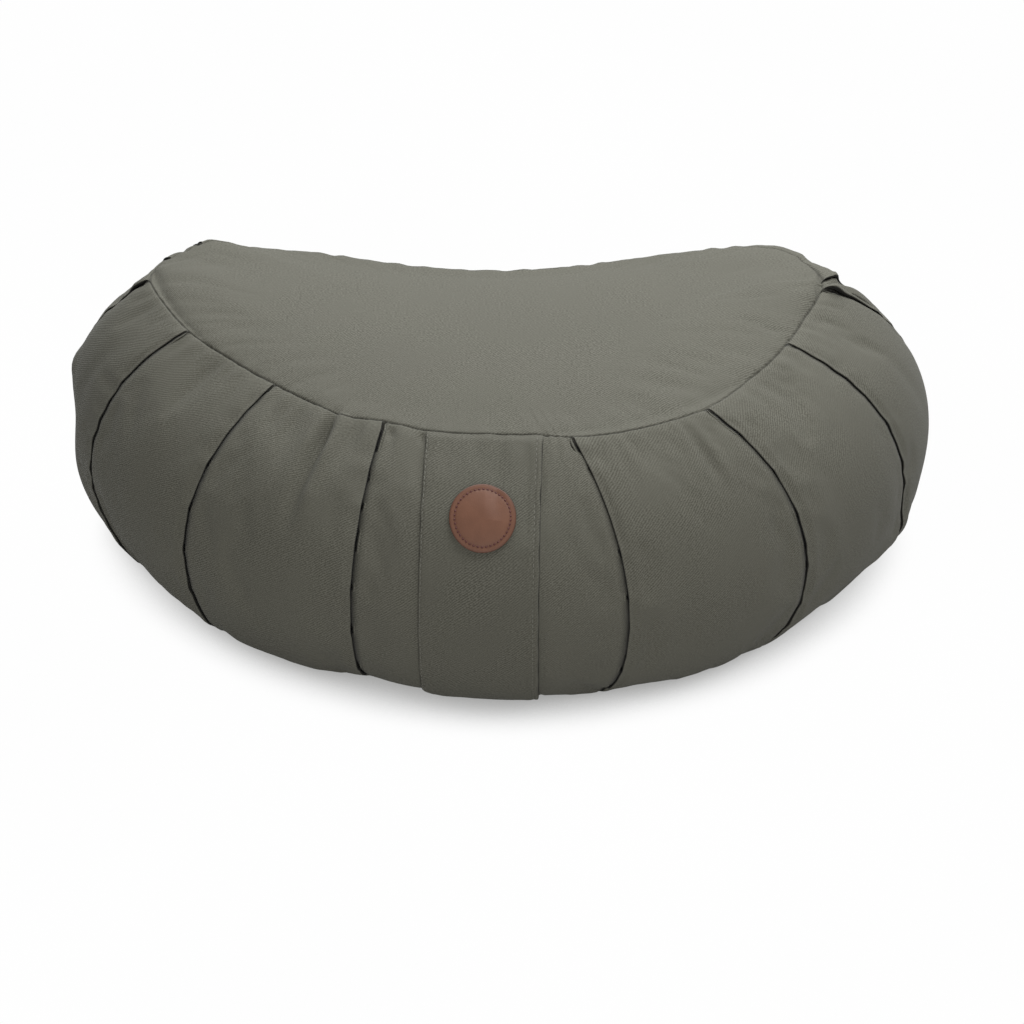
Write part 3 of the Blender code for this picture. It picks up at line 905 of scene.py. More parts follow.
class PanelMesh:
    """Collects a sewn cover's grids of points, the faces between them and each corner's cloth place."""

    def __init__(self) -> None:
        """Starts with nothing."""
        self.all_points: list[np.ndarray] = []
        self.faces: list[tuple[int, ...]] = []
        self.cloth: list[np.ndarray] = []

    def points(self, grid: np.ndarray) -> int:
        """Adds points and gives the first one's number."""
        first = sum(len(part) for part in self.all_points)
        self.all_points.append(grid.reshape(-1, 3))
        return first

    def rings(self, first: int, shape: tuple[int, int], cloth: np.ndarray) -> None:
        """Joins a grid's rings with quads."""
        flat = cloth.reshape(-1, 2)
        rows, count = shape
        for face in ring_faces(rows, count):
            self.faces.append(tuple(first + k for k in face))
            self.cloth.append(flat[list(face)])

    def join(
        self, inner: int, inner_cloth: np.ndarray, kept: np.ndarray, outer: int, outer_cloth: np.ndarray,
        every: np.ndarray, under: bool,
    ) -> None:
        """Joins a ring of a panel to the folded seam, which has more points.

        Args:
            inner: the panel ring's first point.
            inner_cloth: its points' cloth places.
            kept: the seam points that the panel's points lie beside.
            outer: the seam's first point.
            outer_cloth: its points' cloth places.
            every: the seam points' numbers.
            under: whether the panel is the base, which faces down.
        """
        count = len(every)
        for k, start in enumerate(kept):
            after = (k + 1) % len(kept)
            stop = kept[after] if after else kept[0] + count
            run = [int(number) % count for number in range(start, stop + 1)]
            face = [inner + k, *[outer + number for number in run], inner + after]
            cloth = [inner_cloth[k], *[outer_cloth[number] for number in run], inner_cloth[after]]
            self.faces.append(tuple(face[::-1] if under else face))
            self.cloth.append(np.array(cloth[::-1] if under else cloth))

    def pole(self, first: int, ring: np.ndarray, cloth: np.ndarray, under: bool) -> None:
        """Closes a panel's innermost ring to its mean point."""
        middle = self.points(ring.mean(axis=0)[None])
        count = len(ring)
        for k in range(count):
            after = (k + 1) % count
            face = [first + k, first + after, middle]
            places = [cloth[k], cloth[after], cloth.mean(axis=0)]
            self.faces.append(tuple(face[::-1] if under else face))
            self.cloth.append(np.array(places[::-1] if under else places))

    def piece(self, name: str, values: dict[str, np.ndarray]) -> bpy.types.Object:
        """Makes the object. The values are attributes of its first points, and 0 on the rest."""
        points = np.concatenate(self.all_points)
        data = bpy.data.meshes.new(name)
        data.from_pydata(points.tolist(), [], self.faces)
        layer = data.uv_layers.new(name="cloth")
        layer.uv.foreach_set("vector", np.concatenate(self.cloth).astype(np.float32).ravel())
        for title, given in values.items():
            whole = np.zeros(len(points), np.float32)
            whole[: len(given)] = given
            data.attributes.new(title, "FLOAT", "POINT").data.foreach_set("value", whole)
        data.shade_smooth()
        piece = bpy.data.objects.new(name, data)
        bpy.context.scene.collection.objects.link(piece)
        return piece


def smooth_step(share: np.ndarray) -> np.ndarray:
    """0 below 0, 1 above 1, and a smooth rise between."""
    share = np.clip(share, 0, 1)
    return share * share * (3 - 2 * share)


@dataclass
class Wrap:
    """Places things on the front of the cover: lengths across the band's line and down from the seam."""

    shape: CoverShape
    relief: Relief

    def width(self) -> float:
        """The band's width."""
        (seam_left, widest_left), (seam_right, widest_right) = BAND_ENDS
        return (seam_right - seam_left + widest_right - widest_left) / 2

    def length(self) -> float:
        """The length down the side from the top seam to the base."""
        return float(self.shape.side_ruler()[1][-1])

    def at(self, across: np.ndarray, down: np.ndarray, height: np.ndarray) -> np.ndarray:
        """Points on the front.

        Args:
            across: lengths from the band's middle line, + to the right.
            down: lengths from the top seam.
            height: lengths outwards from the cover's surface.

        Returns:
            Points in the last axis.
        """
        share = across / self.width() + 0.5
        (seam_left, widest_left), (seam_right, widest_right) = BAND_ENDS
        on_seam = seam_left + share * (seam_right - seam_left)
        on_widest = widest_left + share * (widest_right - widest_left)
        places, ruler = self.shape.side_ruler()
        where = np.interp(down, ruler, places)
        points, normals = self.shape.side_frame(on_seam, on_widest, where)
        raised = self.relief.side(on_widest, where) + height
        return points + normals * raised[..., None]


@dataclass
class FrontBand:
    """The strap down the front: a folded strip, pulled in along its rows of stitches."""

    wrap: Wrap
    name: str = "front_band_strap"
    gap: float = 0.35 * MM
    thick: float = 1.6 * MM
    top: float = 0.75 * MM
    bottom_clear: float = 19 * MM
    left_inset: float = 1.0 * MM
    right_inset: float = 2.7 * MM
    hem_inset: float = 5.2 * MM

    def profile(self) -> tuple[np.ndarray, np.ndarray]:
        """Places across the strap, and how high its upper face stands at each."""
        half = self.wrap.width() / 2
        edge = np.array([0, 0.12, 0.4, 0.8, 1.2, 1.5, 1.9, 2.3, 2.7, 3.2, 4.0, 4.8, 5.4, 6.0, 6.8]) * MM
        inner = np.linspace(-half + 8 * MM, half - 8 * MM, 22)
        across = np.concatenate([-half + edge, inner, (half - edge)[::-1]])
        off = half - np.abs(across)
        round_edge = np.sqrt(np.clip(1 - (1 - np.clip(off / (0.9 * MM), 0, 1)) ** 2, 0, 1))
        inset = np.where(across > 0, self.right_inset, self.left_inset)
        stitched = 0.32 * MM * np.exp(-(((off - inset) / (0.5 * MM)) ** 2))
        hem = 0.15 * MM * smooth_step((off - self.hem_inset) / (1.2 * MM))
        proud = np.where(across > 0, 0.2 * MM, -0.55 * MM) * np.exp(-off / (3 * MM))
        height = self.thick * (0.35 + 0.65 * round_edge) - stitched - hem + proud
        return across, height

    def build(self) -> bpy.types.Object:
        """Makes the closed sheet."""
        across, height = self.profile()
        fall = self.wrap.length() - self.bottom_clear
        down = np.concatenate([np.array([0, 0.4, 1.0, 1.8, 3.0]) * MM, np.linspace(4.6 * MM, fall, 110)])
        down = (self.top + down)[:, None]
        waves = Ripples(seed=44, shortest=0.02, longest=0.06, stretch=2.0, height=0.22 * MM)
        uneven = waves.relief(down, across[None], 0.4)
        edges = Ripples(seed=45, shortest=0.012, longest=0.03, stretch=9.0, height=0.3 * MM)
        shift = edges.relief(down, np.sign(across)[None] * 0.05, 0.4) * np.abs(across) / np.abs(across).max()
        sewn = 0.35 + 0.65 * smooth_step((down - self.top) / (4 * MM))
        upper = self.wrap.at(across[None] + shift, down, self.gap + height[None] * sewn + uneven * sewn)
        lower = self.wrap.at(across[None] + shift, down, np.full_like(upper[..., 0], self.gap))
        rows, count = upper.shape[:2]
        points = np.concatenate([upper.reshape(-1, 3), lower.reshape(-1, 3)])
        half = rows * count
        faces = []
        for r in range(rows - 1):
            for c in range(count - 1):
                a, b = r * count + c, r * count + c + 1
                faces.append((a, a + count, b + count, b))
                faces.append((half + a, half + b, half + b + count, half + a + count))
        border = [(r, 0) for r in range(rows)]
        border += [(rows - 1, c) for c in range(1, count)]
        border += [(r, count - 1) for r in range(rows - 2, -1, -1)]
        border += [(0, c) for c in range(count - 2, 0, -1)]
        for (r, c), (s, d) in zip(border, border[1:] + border[:1]):
            faces.append((half + r * count + c, half + s * count + d, s * count + d, r * count + c))
        data = bpy.data.meshes.new(self.name)
        data.from_pydata(points.tolist(), [], faces)
        own = np.stack(np.broadcast_arrays(across[None] + 0.5, -down), axis=-1).reshape(-1, 2)
        own = np.concatenate([own, own + 0.3])
        corner = np.zeros(len(data.loops), np.int64)
        data.loops.foreach_get("vertex_index", corner)
        data.uv_layers.new(name="cloth").uv.foreach_set("vector", own[corner].astype(np.float32).ravel())
        off = np.abs(across).max() - np.abs(across)
        # The strap's edges are lighter: partly wear, partly a painted highlight.
        worn_and_lit = np.tile(0.8 * np.exp(-off / (1.0 * MM)), rows)
        attribute = data.attributes.new("wear_and_highlight", "FLOAT", "POINT")
        attribute.data.foreach_set("value", np.concatenate([worn_and_lit, worn_and_lit * 0]).astype(np.float32))
        data.shade_smooth()
        piece = bpy.data.objects.new(self.name, data)
        bpy.context.scene.collection.objects.link(piece)
        LOG.info("%s: %.0f mm wide, %.0f mm long", self.name, self.wrap.width() / MM, (down[-1, 0] - down[0, 0]) / MM)
        return piece


@dataclass
class Stitching:
    """A run of like stitches, modelled once and copied along a line into one mesh."""

    name: str
    length: float
    pitch: float
    thick: float
    sink: float = 0.3

    def model(self) -> bpy.types.Object:
        """One stitch along X at the origin: a short rod whose ends dive into the cloth."""
        bpy.ops.object.select_all(action="DESELECT")
        bpy.ops.mesh.primitive_cylinder_add(
            vertices=7, radius=self.thick / 2, depth=self.length, end_fill_type="NGON",
            location=(0, 0, 0), rotation=(0, math.pi / 2, 0),
        )
        rod = bpy.context.object
        bpy.ops.object.transform_apply(location=True, rotation=True, scale=True)
        bpy.ops.object.mode_set(mode="EDIT")
        for share in (-0.36, -0.18, 0.0, 0.18, 0.36):
            bpy.ops.mesh.select_all(action="SELECT")
            bpy.ops.mesh.bisect(plane_co=(share * self.length, 0, 0), plane_no=(1, 0, 0))
        bpy.ops.object.mode_set(mode="OBJECT")
        for vertex in rod.data.vertices:
            share = abs(vertex.co.x) / (self.length / 2)
            vertex.co.z -= self.thick * (0.2 + self.sink) * share ** 3
            vertex.co.z *= 1.0
            vertex.co.y *= 1 - 0.35 * share ** 4
        return rod

    def run(self, points: np.ndarray, normals: np.ndarray) -> bpy.types.Object:
        """Copies the stitch along a line.

        Args:
            points: the line's points, close together.
            normals: the surface's normals there.

        Returns:
            The joined stitches.
        """
        rod = self.model()
        shape = np.array([vertex.co for vertex in rod.data.vertices])
        sides = [tuple(face.vertices) for face in rod.data.polygons]
        bpy.data.objects.remove(rod, do_unlink=True)
        steps = np.linalg.norm(np.diff(points, axis=0), axis=1)
        ruler = np.concatenate([[0.0], np.cumsum(steps)])
        count = int(ruler[-1] / self.pitch)
        draws = np.random.default_rng(len(self.name) * 7 + count)
        made, faces = [], []
        for k in range(count):
            middle = (k + 0.5) * ruler[-1] / count
            ends = np.array([middle - 0.5 * MM, middle, middle + 0.5 * MM])
            place = np.stack([np.interp(ends, ruler, points[:, axis]) for axis in range(3)], axis=-1)
            up = np.array([np.interp(middle, ruler, normals[:, axis]) for axis in range(3)])
            ahead = place[2] - place[0]
            ahead /= np.linalg.norm(ahead)
            up = up - (up @ ahead) * ahead
            up /= np.linalg.norm(up)
            aside = np.cross(up, ahead)
            tilt = draws.uniform(-0.06, 0.06)
            ahead, aside = ahead + tilt * aside, aside - tilt * ahead
            made.append(place[1] + shape @ np.stack([ahead, aside, up]))
            faces += [tuple(k * len(shape) + v for v in side) for side in sides]
        data = bpy.data.meshes.new(self.name)
        data.from_pydata(np.concatenate(made).tolist(), [], faces)
        data.shade_smooth()
        piece = bpy.data.objects.new(self.name, data)
        bpy.context.scene.collection.objects.link(piece)
        LOG.info("%s: %d stitches", self.name, count)
        return piece


@dataclass
class Badge:
    """The round leather badge on the band: a bevelled disc with a pressed ring for its stitches."""

    wrap: Wrap
    band: FrontBand
    name: str = "leather_badge"
    radius: float = 16.3 * MM
    thick: float = 2.0 * MM
    across: float = 1.4 * MM
    down: float = 45.0 * MM
    ring_share: float = 0.835
    groove_half: float = 0.6 * MM
    groove_depth: float = 0.25 * MM

    def on_band(self, places: np.ndarray) -> np.ndarray:
        """Lays points of a flat disc, whose third coordinate is their height, on the bowed band."""
        _, heights = self.band.profile()
        seat = self.band.gap + float(heights.max()) + 0.12 * MM
        return self.wrap.at(self.across + places[..., 0], self.down - places[..., 1], seat + places[..., 2])

    def build(self) -> bpy.types.Object:
        """Turns a cylinder into the disc and bows it."""
        bpy.ops.object.select_all(action="DESELECT")
        bpy.ops.mesh.primitive_cylinder_add(
            vertices=128, radius=self.radius, depth=self.thick, location=(0, 0, self.thick / 2)
        )
        piece = bpy.context.object
        piece.name = piece.data.name = self.name
        bpy.ops.object.transform_apply(location=True, rotation=True, scale=True)
        groove = self.ring_share * self.radius
        stops = [
            self.radius - 0.9 * MM, groove + 2 * self.groove_half, groove + self.groove_half, groove,
            groove - self.groove_half, groove - 2 * self.groove_half,
        ]
        stops += [share * self.radius for share in (0.66, 0.54, 0.42, 0.30, 0.18, 0.07)]
        for side in (1, -1):
            at = self.radius
            for stop in stops:
                self._choose(piece, side, at)
                bpy.ops.object.mode_set(mode="EDIT")
                bpy.ops.mesh.inset(thickness=at - stop, depth=0)
                bpy.ops.object.mode_set(mode="OBJECT")
                at = stop
        self._round_rim(piece)
        places = np.array([vertex.co for vertex in piece.data.vertices])
        off = np.hypot(places[:, 0], places[:, 1])
        upper = places[:, 2] > self.thick / 2
        dome = 0.35 * MM * (1 - (off / self.radius) ** 2)
        pressed = self.groove_depth * np.exp(-((off - groove) / self.groove_half) ** 2)
        places[:, 2] += np.where(upper, dome - pressed, 0)
        flat = places[:, :2].copy()
        bowed = self.on_band(places)
        piece.data.vertices.foreach_set("co", bowed.astype(np.float32).ravel())
        piece.data.update()
        corner = np.zeros(len(piece.data.loops), np.int64)
        piece.data.loops.foreach_get("vertex_index", corner)
        while piece.data.uv_layers:
            piece.data.uv_layers.remove(piece.data.uv_layers[0])
        layer = piece.data.uv_layers.new(name="leather")
        layer.uv.foreach_set("vector", flat[corner].astype(np.float32).ravel())
        rim = np.exp(-((self.radius - off) / (0.8 * MM)) ** 2)
        ring = np.exp(-((off - groove) / self.groove_half) ** 2) * upper
        for title, values in (("rim", rim), ("ring", ring)):
            attribute = piece.data.attributes.new(title, "FLOAT", "POINT")
            attribute.data.foreach_set("value", values.astype(np.float32))
        LOG.info("%s: %.0f mm across", self.name, 2 * self.radius / MM)
        return piece

    def _choose(self, piece: bpy.types.Object, side: int, radius: float) -> None:
        """Selects the flat middle face of one side."""
        for face in piece.data.polygons:
            face.select = face.normal.z * side > 0.9 and len(face.vertices) > 4
        for edge in piece.data.edges:
            edge.select = False
        for vertex in piece.data.vertices:
            vertex.select = False
        for face in piece.data.polygons:
            if face.select:
                for index in face.vertices:
                    piece.data.vertices[index].select = True

    def _round_rim(self, piece: bpy.types.Object) -> None:
        """Rounds the disc's two rims."""
        bpy.ops.object.select_all(action="DESELECT")
        piece.select_set(True)
        bpy.context.view_layer.objects.active = piece
        bevel = piece.modifiers.new("Bevel", "BEVEL")
        bevel.width = 0.5 * MM
        bevel.segments = 3
        bevel.limit_method = "ANGLE"
        bevel.angle_limit = math.radians(40)
        bpy.ops.object.modifier_apply(modifier=bevel.name)
        bpy.ops.object.shade_smooth_by_angle(angle=math.radians(50))

    def stitch_line(self) -> tuple[np.ndarray, np.ndarray]:
        """The stitches' closed line in the pressed ring, and normals along it."""
        turns = np.linspace(0, 2 * math.pi, 361)
        radius = self.ring_share * self.radius
        height = self.thick + 0.35 * MM * (1 - self.ring_share ** 2) - self.groove_depth + 0.06 * MM
        flat = np.stack([radius * np.cos(turns), radius * np.sin(turns), np.full(361, height)], axis=-1)
        lifted = flat + np.array([0, 0, MM])
        points = self.on_band(flat)
        normals = self.on_band(lifted) - points
        return points, normals / np.linalg.norm(normals, axis=1, keepdims=True)


class NodeKit:
    """Short ways to add and join a node tree's nodes."""

    def __init__(self, tree: bpy.types.NodeTree) -> None:
        """Keeps the tree."""
        self.tree = tree

    def add(self, kind: str, **sockets: object) -> bpy.types.Node:
        """Adds a node.

        Args:
            kind: the node's type.
            sockets: settings by their own name, and inputs by s_ and their name or number. An input
                is a value, or another node's output, which is then joined to it.

        Returns:
            The node.
        """
        node = self.tree.nodes.new(kind)
        for name, value in sockets.items():
            if not name.startswith("s_"):
                setattr(node, name, value)
        for name, value in sockets.items():
            if name.startswith("s_"):
                key = name[2:].replace("_", " ")
                socket = node.inputs[int(key)] if key.isdigit() else node.inputs[key]
                if isinstance(value, bpy.types.NodeSocket):
                    self.tree.links.new(value, socket)
                else:
                    socket.default_value = value
        return node

    def math(self, operation: str, first: object, second: object = 0.0, third: object = 0.0) -> bpy.types.NodeSocket:
        """A Math node's output."""
        node = self.add("ShaderNodeMath", operation=operation, s_0=first, s_1=second)
        if operation in ("MULTIPLY_ADD", "COMPARE"):
            if isinstance(third, bpy.types.NodeSocket):
                self.tree.links.new(third, node.inputs[2])
            else:
                node.inputs[2].default_value = third
        return node.outputs[0]

    def mix(self, share: object, first: object, second: object) -> bpy.types.NodeSocket:
        """A colour mix's output."""
        node = self.add("ShaderNodeMix", data_type="RGBA")
        for socket, value in ((node.inputs[0], share), (node.inputs[6], first), (node.inputs[7], second)):
            if isinstance(value, bpy.types.NodeSocket):
                self.tree.links.new(value, socket)
            else:
                socket.default_value = value
        return node.outputs[2]

    def noise(self, vector: bpy.types.NodeSocket, scale: float, detail: float = 2.0) -> bpy.types.NodeSocket:
        """A noise texture's value."""
        return self.add("ShaderNodeTexNoise", s_Vector=vector, s_Scale=scale, s_Detail=detail).outputs[0]


def new_group(title: str, inputs: dict[str, str], outputs: dict[str, str]) -> tuple[bpy.types.NodeTree, NodeKit]:
    """Starts a shader node group.

    Args:
        title: its name.
        inputs: socket types by name.
        outputs: the same.

    Returns:
        The group, and its kit.
    """
    group = bpy.data.node_groups.new(title, "ShaderNodeTree")
    for name, kind in inputs.items():
        group.interface.new_socket(name=name, in_out="INPUT", socket_type=kind)
    for name, kind in outputs.items():
        group.interface.new_socket(name=name, in_out="OUTPUT", socket_type=kind)
    return group, NodeKit(group)


def twill_group() -> bpy.types.NodeTree:
    """The twill weave: slanted ribs, broken into the short floats of their threads."""
    group, kit = new_group(
        "Twill weave", {"Vector": "NodeSocketVector", "Pitch": "NodeSocketFloat"},
        {"Height": "NodeSocketFloat", "Shade": "NodeSocketFloat"},
    )
    source = kit.add("NodeGroupInput")
    wander = kit.add("ShaderNodeTexNoise", s_Vector=source.outputs["Vector"], s_Scale=60.0, s_Detail=2.0)
    split = kit.add("ShaderNodeSeparateXYZ", s_0=source.outputs["Vector"])
    across = kit.math("DIVIDE", split.outputs[0], source.outputs["Pitch"])
    up = kit.math("DIVIDE", split.outputs[1], source.outputs["Pitch"])
    slant = kit.math("SUBTRACT", kit.math("MULTIPLY", across, 0.62), kit.math("MULTIPLY", up, 0.78))
    slant = kit.math("ADD", slant, kit.math("MULTIPLY", wander.outputs[0], 2.4))
    rib = kit.math("MULTIPLY_ADD", kit.math("SINE", kit.math("MULTIPLY", slant, 2 * math.pi)), 0.5, 0.5)
    thread = kit.math("SINE", kit.math("MULTIPLY", up, 2 * math.pi * 2.2))
    thread = kit.math("MULTIPLY_ADD", thread, 0.5, 0.5)
    height = kit.math("ADD", kit.math("MULTIPLY", rib, 0.72), kit.math("MULTIPLY", kit.math("MULTIPLY", rib, thread), 0.28))
    flat = kit.add("ShaderNodeMapping", s_Vector=source.outputs["Vector"], s_Scale=(860.0, 1700.0, 1.0))
    slub = kit.math("MULTIPLY_ADD", kit.noise(flat.outputs[0], 1.0, 2.5), 11.5, -5.25)
    patch = kit.math("MULTIPLY_ADD", kit.noise(source.outputs["Vector"], 32.0, 1.0), 2.6, -0.7)
    patch = kit.math("MAXIMUM", patch, 0.15)
    slub = kit.math("MULTIPLY_ADD", kit.math("SUBTRACT", slub, 0.5), patch, 0.5)
    ribbed = kit.math("MULTIPLY", kit.math("SUBTRACT", rib, 0.5), kit.math("MULTIPLY", patch, 1.8))
    shade = kit.math("ADD", ribbed, kit.math("MULTIPLY_ADD", slub, 0.7, 0.15))
    sink = kit.add("NodeGroupOutput")
    group.links.new(height, sink.inputs["Height"])
    group.links.new(shade, sink.inputs["Shade"])
    return group


def mottle_group() -> bpy.types.NodeTree:
    """Unevenness of dyed cloth: broad clouds, streaks along the weft and fine flecks."""
    group, kit = new_group(
        "Dye mottle", {"Vector": "NodeSocketVector"},
        {"Clouds": "NodeSocketFloat", "Streaks": "NodeSocketFloat", "Flecks": "NodeSocketFloat"},
    )
    source = kit.add("NodeGroupInput")
    clouds = kit.noise(source.outputs["Vector"], 14.0, 3.0)
    long = kit.add("ShaderNodeMapping", s_Vector=source.outputs["Vector"], s_Scale=(120.0, 1500.0, 1.0))
    streaks = kit.math("SUBTRACT", kit.noise(long.outputs[0], 1.0, 2.0), 0.5)
    patches = kit.math("MULTIPLY_ADD", kit.noise(source.outputs["Vector"], 24.0, 1.0), 3.4, -1.2)
    streaks = kit.math("MULTIPLY_ADD", streaks, kit.math("MAXIMUM", patches, 0.1), 0.5)
    fine = kit.noise(source.outputs["Vector"], 900.0, 2.0)
    flecks = kit.add("ShaderNodeMapRange", s_Value=fine)
    flecks.inputs["From Min"].default_value = 0.66
    flecks.inputs["From Max"].default_value = 0.78
    sink = kit.add("NodeGroupOutput")
    group.links.new(clouds, sink.inputs["Clouds"])
    group.links.new(streaks, sink.inputs["Streaks"])
    group.links.new(flecks.outputs[0], sink.inputs["Flecks"])
    return group


def new_material(name: str) -> tuple[bpy.types.Material, NodeKit, bpy.types.Node]:
    """An empty material with its Principled shader.

    Returns:
        The material, its kit and the shader.
    """
    material = bpy.data.materials.new(name)
    material.use_nodes = True
    shader = material.node_tree.nodes["Principled BSDF"]
    return material, NodeKit(material.node_tree), shader


@dataclass(frozen=True)
class TwillFinish:
    """Dyed cotton twill, in scene-linear colours."""

    name: str
    dark: tuple[float, float, float, float]
    light: tuple[float, float, float, float]
    pitch: float = 1.12 * MM
    relief: float = 0.2 * MM
    # How dark the painted shade in folds and seams is, as a share of the dark dye.
    painted_shade_depth: float = 0.06

    def material(self, weave: bpy.types.NodeTree, mottle: bpy.types.NodeTree) -> bpy.types.Material:
        """Builds the material around the two shared groups."""
        material, kit, shader = new_material(self.name)
        cloth = kit.add("ShaderNodeUVMap", uv_map="cloth").outputs[0]
        twill = kit.add("ShaderNodeGroup", node_tree=weave, s_Vector=cloth, s_Pitch=self.pitch)
        dye = kit.add("ShaderNodeGroup", node_tree=mottle, s_Vector=cloth)
        worn_and_lit = kit.add("ShaderNodeAttribute", attribute_name="wear_and_highlight").outputs["Fac"]
        share = kit.math("MULTIPLY", twill.outputs["Shade"], 0.55)
        share = kit.math("ADD", share, kit.math("MULTIPLY", dye.outputs["Clouds"], 0.32))
        share = kit.math("ADD", share, kit.math("MULTIPLY", dye.outputs["Streaks"], 0.4))
        share = kit.math("SUBTRACT", share, 0.11)
        # Fold edges, band edges and the cloth beside the seam are lighter: partly wear, partly a painted highlight.
        share = kit.math("ADD", share, kit.math("MULTIPLY", worn_and_lit, 0.16))
        colour = kit.mix(share, self.dark, self.light)
        pale = tuple(min(1.0, 1.5 * part) for part in self.light[:3]) + (1.0,)
        colour = kit.mix(kit.math("MULTIPLY", dye.outputs["Flecks"], 0.35), colour, pale)
        # Painted shade: folds, seams and the band's edges are pulled towards a near-black colour and lose their weave
        # bump there.
        painted_shade = kit.add("ShaderNodeAttribute", attribute_name="painted_shade").outputs["Fac"]
        painted_shade_colour = tuple(self.painted_shade_depth * part for part in self.dark[:3]) + (1.0,)
        colour = kit.mix(kit.math("MULTIPLY", painted_shade, 0.97), colour, painted_shade_colour)
        rough = kit.math("MULTIPLY_ADD", dye.outputs["Clouds"], 0.12, 0.8)
        height = kit.math("MULTIPLY", twill.outputs["Height"], kit.math("SUBTRACT", 1.0, painted_shade))
        bump = kit.add("ShaderNodeBump", s_Strength=0.55, s_Distance=self.relief, s_Height=height)
        links = material.node_tree.links
        links.new(colour, shader.inputs["Base Color"])
        links.new(rough, shader.inputs["Roughness"])
        links.new(bump.outputs[0], shader.inputs["Normal"])
        shader.inputs["Specular IOR Level"].default_value = 0.22
        shader.inputs["Sheen Weight"].default_value = 0.03
        shader.inputs["Sheen Roughness"].default_value = 0.5
        return material


@dataclass(frozen=True)
class LeatherFinish:
    """Smooth brown leather with a darker rim and a darker pressed ring."""

    name: str
    dark: tuple[float, float, float, float]
    light: tuple[float, float, float, float]
    rim: tuple[float, float, float, float]

    def material(self) -> bpy.types.Material:
        """Builds the material."""
        material, kit, shader = new_material(self.name)
        skin = kit.add("ShaderNodeUVMap", uv_map="leather").outputs[0]
        clouds = kit.noise(skin, 130.0, 3.0)
        pores = kit.add("ShaderNodeTexVoronoi", s_Vector=skin, s_Scale=1900.0).outputs[0]
        grain = kit.noise(skin, 1300.0, 3.0)
        colour = kit.mix(clouds, self.dark, self.light)
        rim = kit.add("ShaderNodeAttribute", attribute_name="rim").outputs["Fac"]
        ring = kit.add("ShaderNodeAttribute", attribute_name="ring").outputs["Fac"]
        colour = kit.mix(kit.math("MULTIPLY", rim, 0.55), colour, self.rim)
        colour = kit.mix(kit.math("MULTIPLY", ring, 0.3), colour, self.rim)
        height = kit.math("ADD", kit.math("MULTIPLY", grain, 0.6), kit.math("MULTIPLY", pores, 0.4))
        bump = kit.add("ShaderNodeBump", s_Strength=0.4, s_Distance=0.12 * MM, s_Height=height)
        rough = kit.math("MULTIPLY_ADD", grain, 0.25, 0.42)
        links = material.node_tree.links
        links.new(colour, shader.inputs["Base Color"])
        links.new(rough, shader.inputs["Roughness"])
        links.new(bump.outputs[0], shader.inputs["Normal"])
        shader.inputs["Specular IOR Level"].default_value = 0.25
        return material


@dataclass(frozen=True)
class ThreadFinish:
    """Twisted sewing thread."""

    name: str
    dark: tuple[float, float, float, float]
    light: tuple[float, float, float, float]

    def material(self) -> bpy.types.Material:
        """Builds the material."""
        material, kit, shader = new_material(self.name)
        place = kit.add("ShaderNodeTexCoord").outputs["Object"]
        plies = kit.noise(place, 2600.0, 1.0)
        colour = kit.mix(plies, self.dark, self.light)
        bump = kit.add("ShaderNodeBump", s_Strength=0.5, s_Distance=0.08 * MM, s_Height=plies)
        links = material.node_tree.links
        links.new(colour, shader.inputs["Base Color"])
        links.new(kit.math("MULTIPLY_ADD", plies, 0.2, 0.6), shader.inputs["Roughness"])
        links.new(bump.outputs[0], shader.inputs["Normal"])
        return material


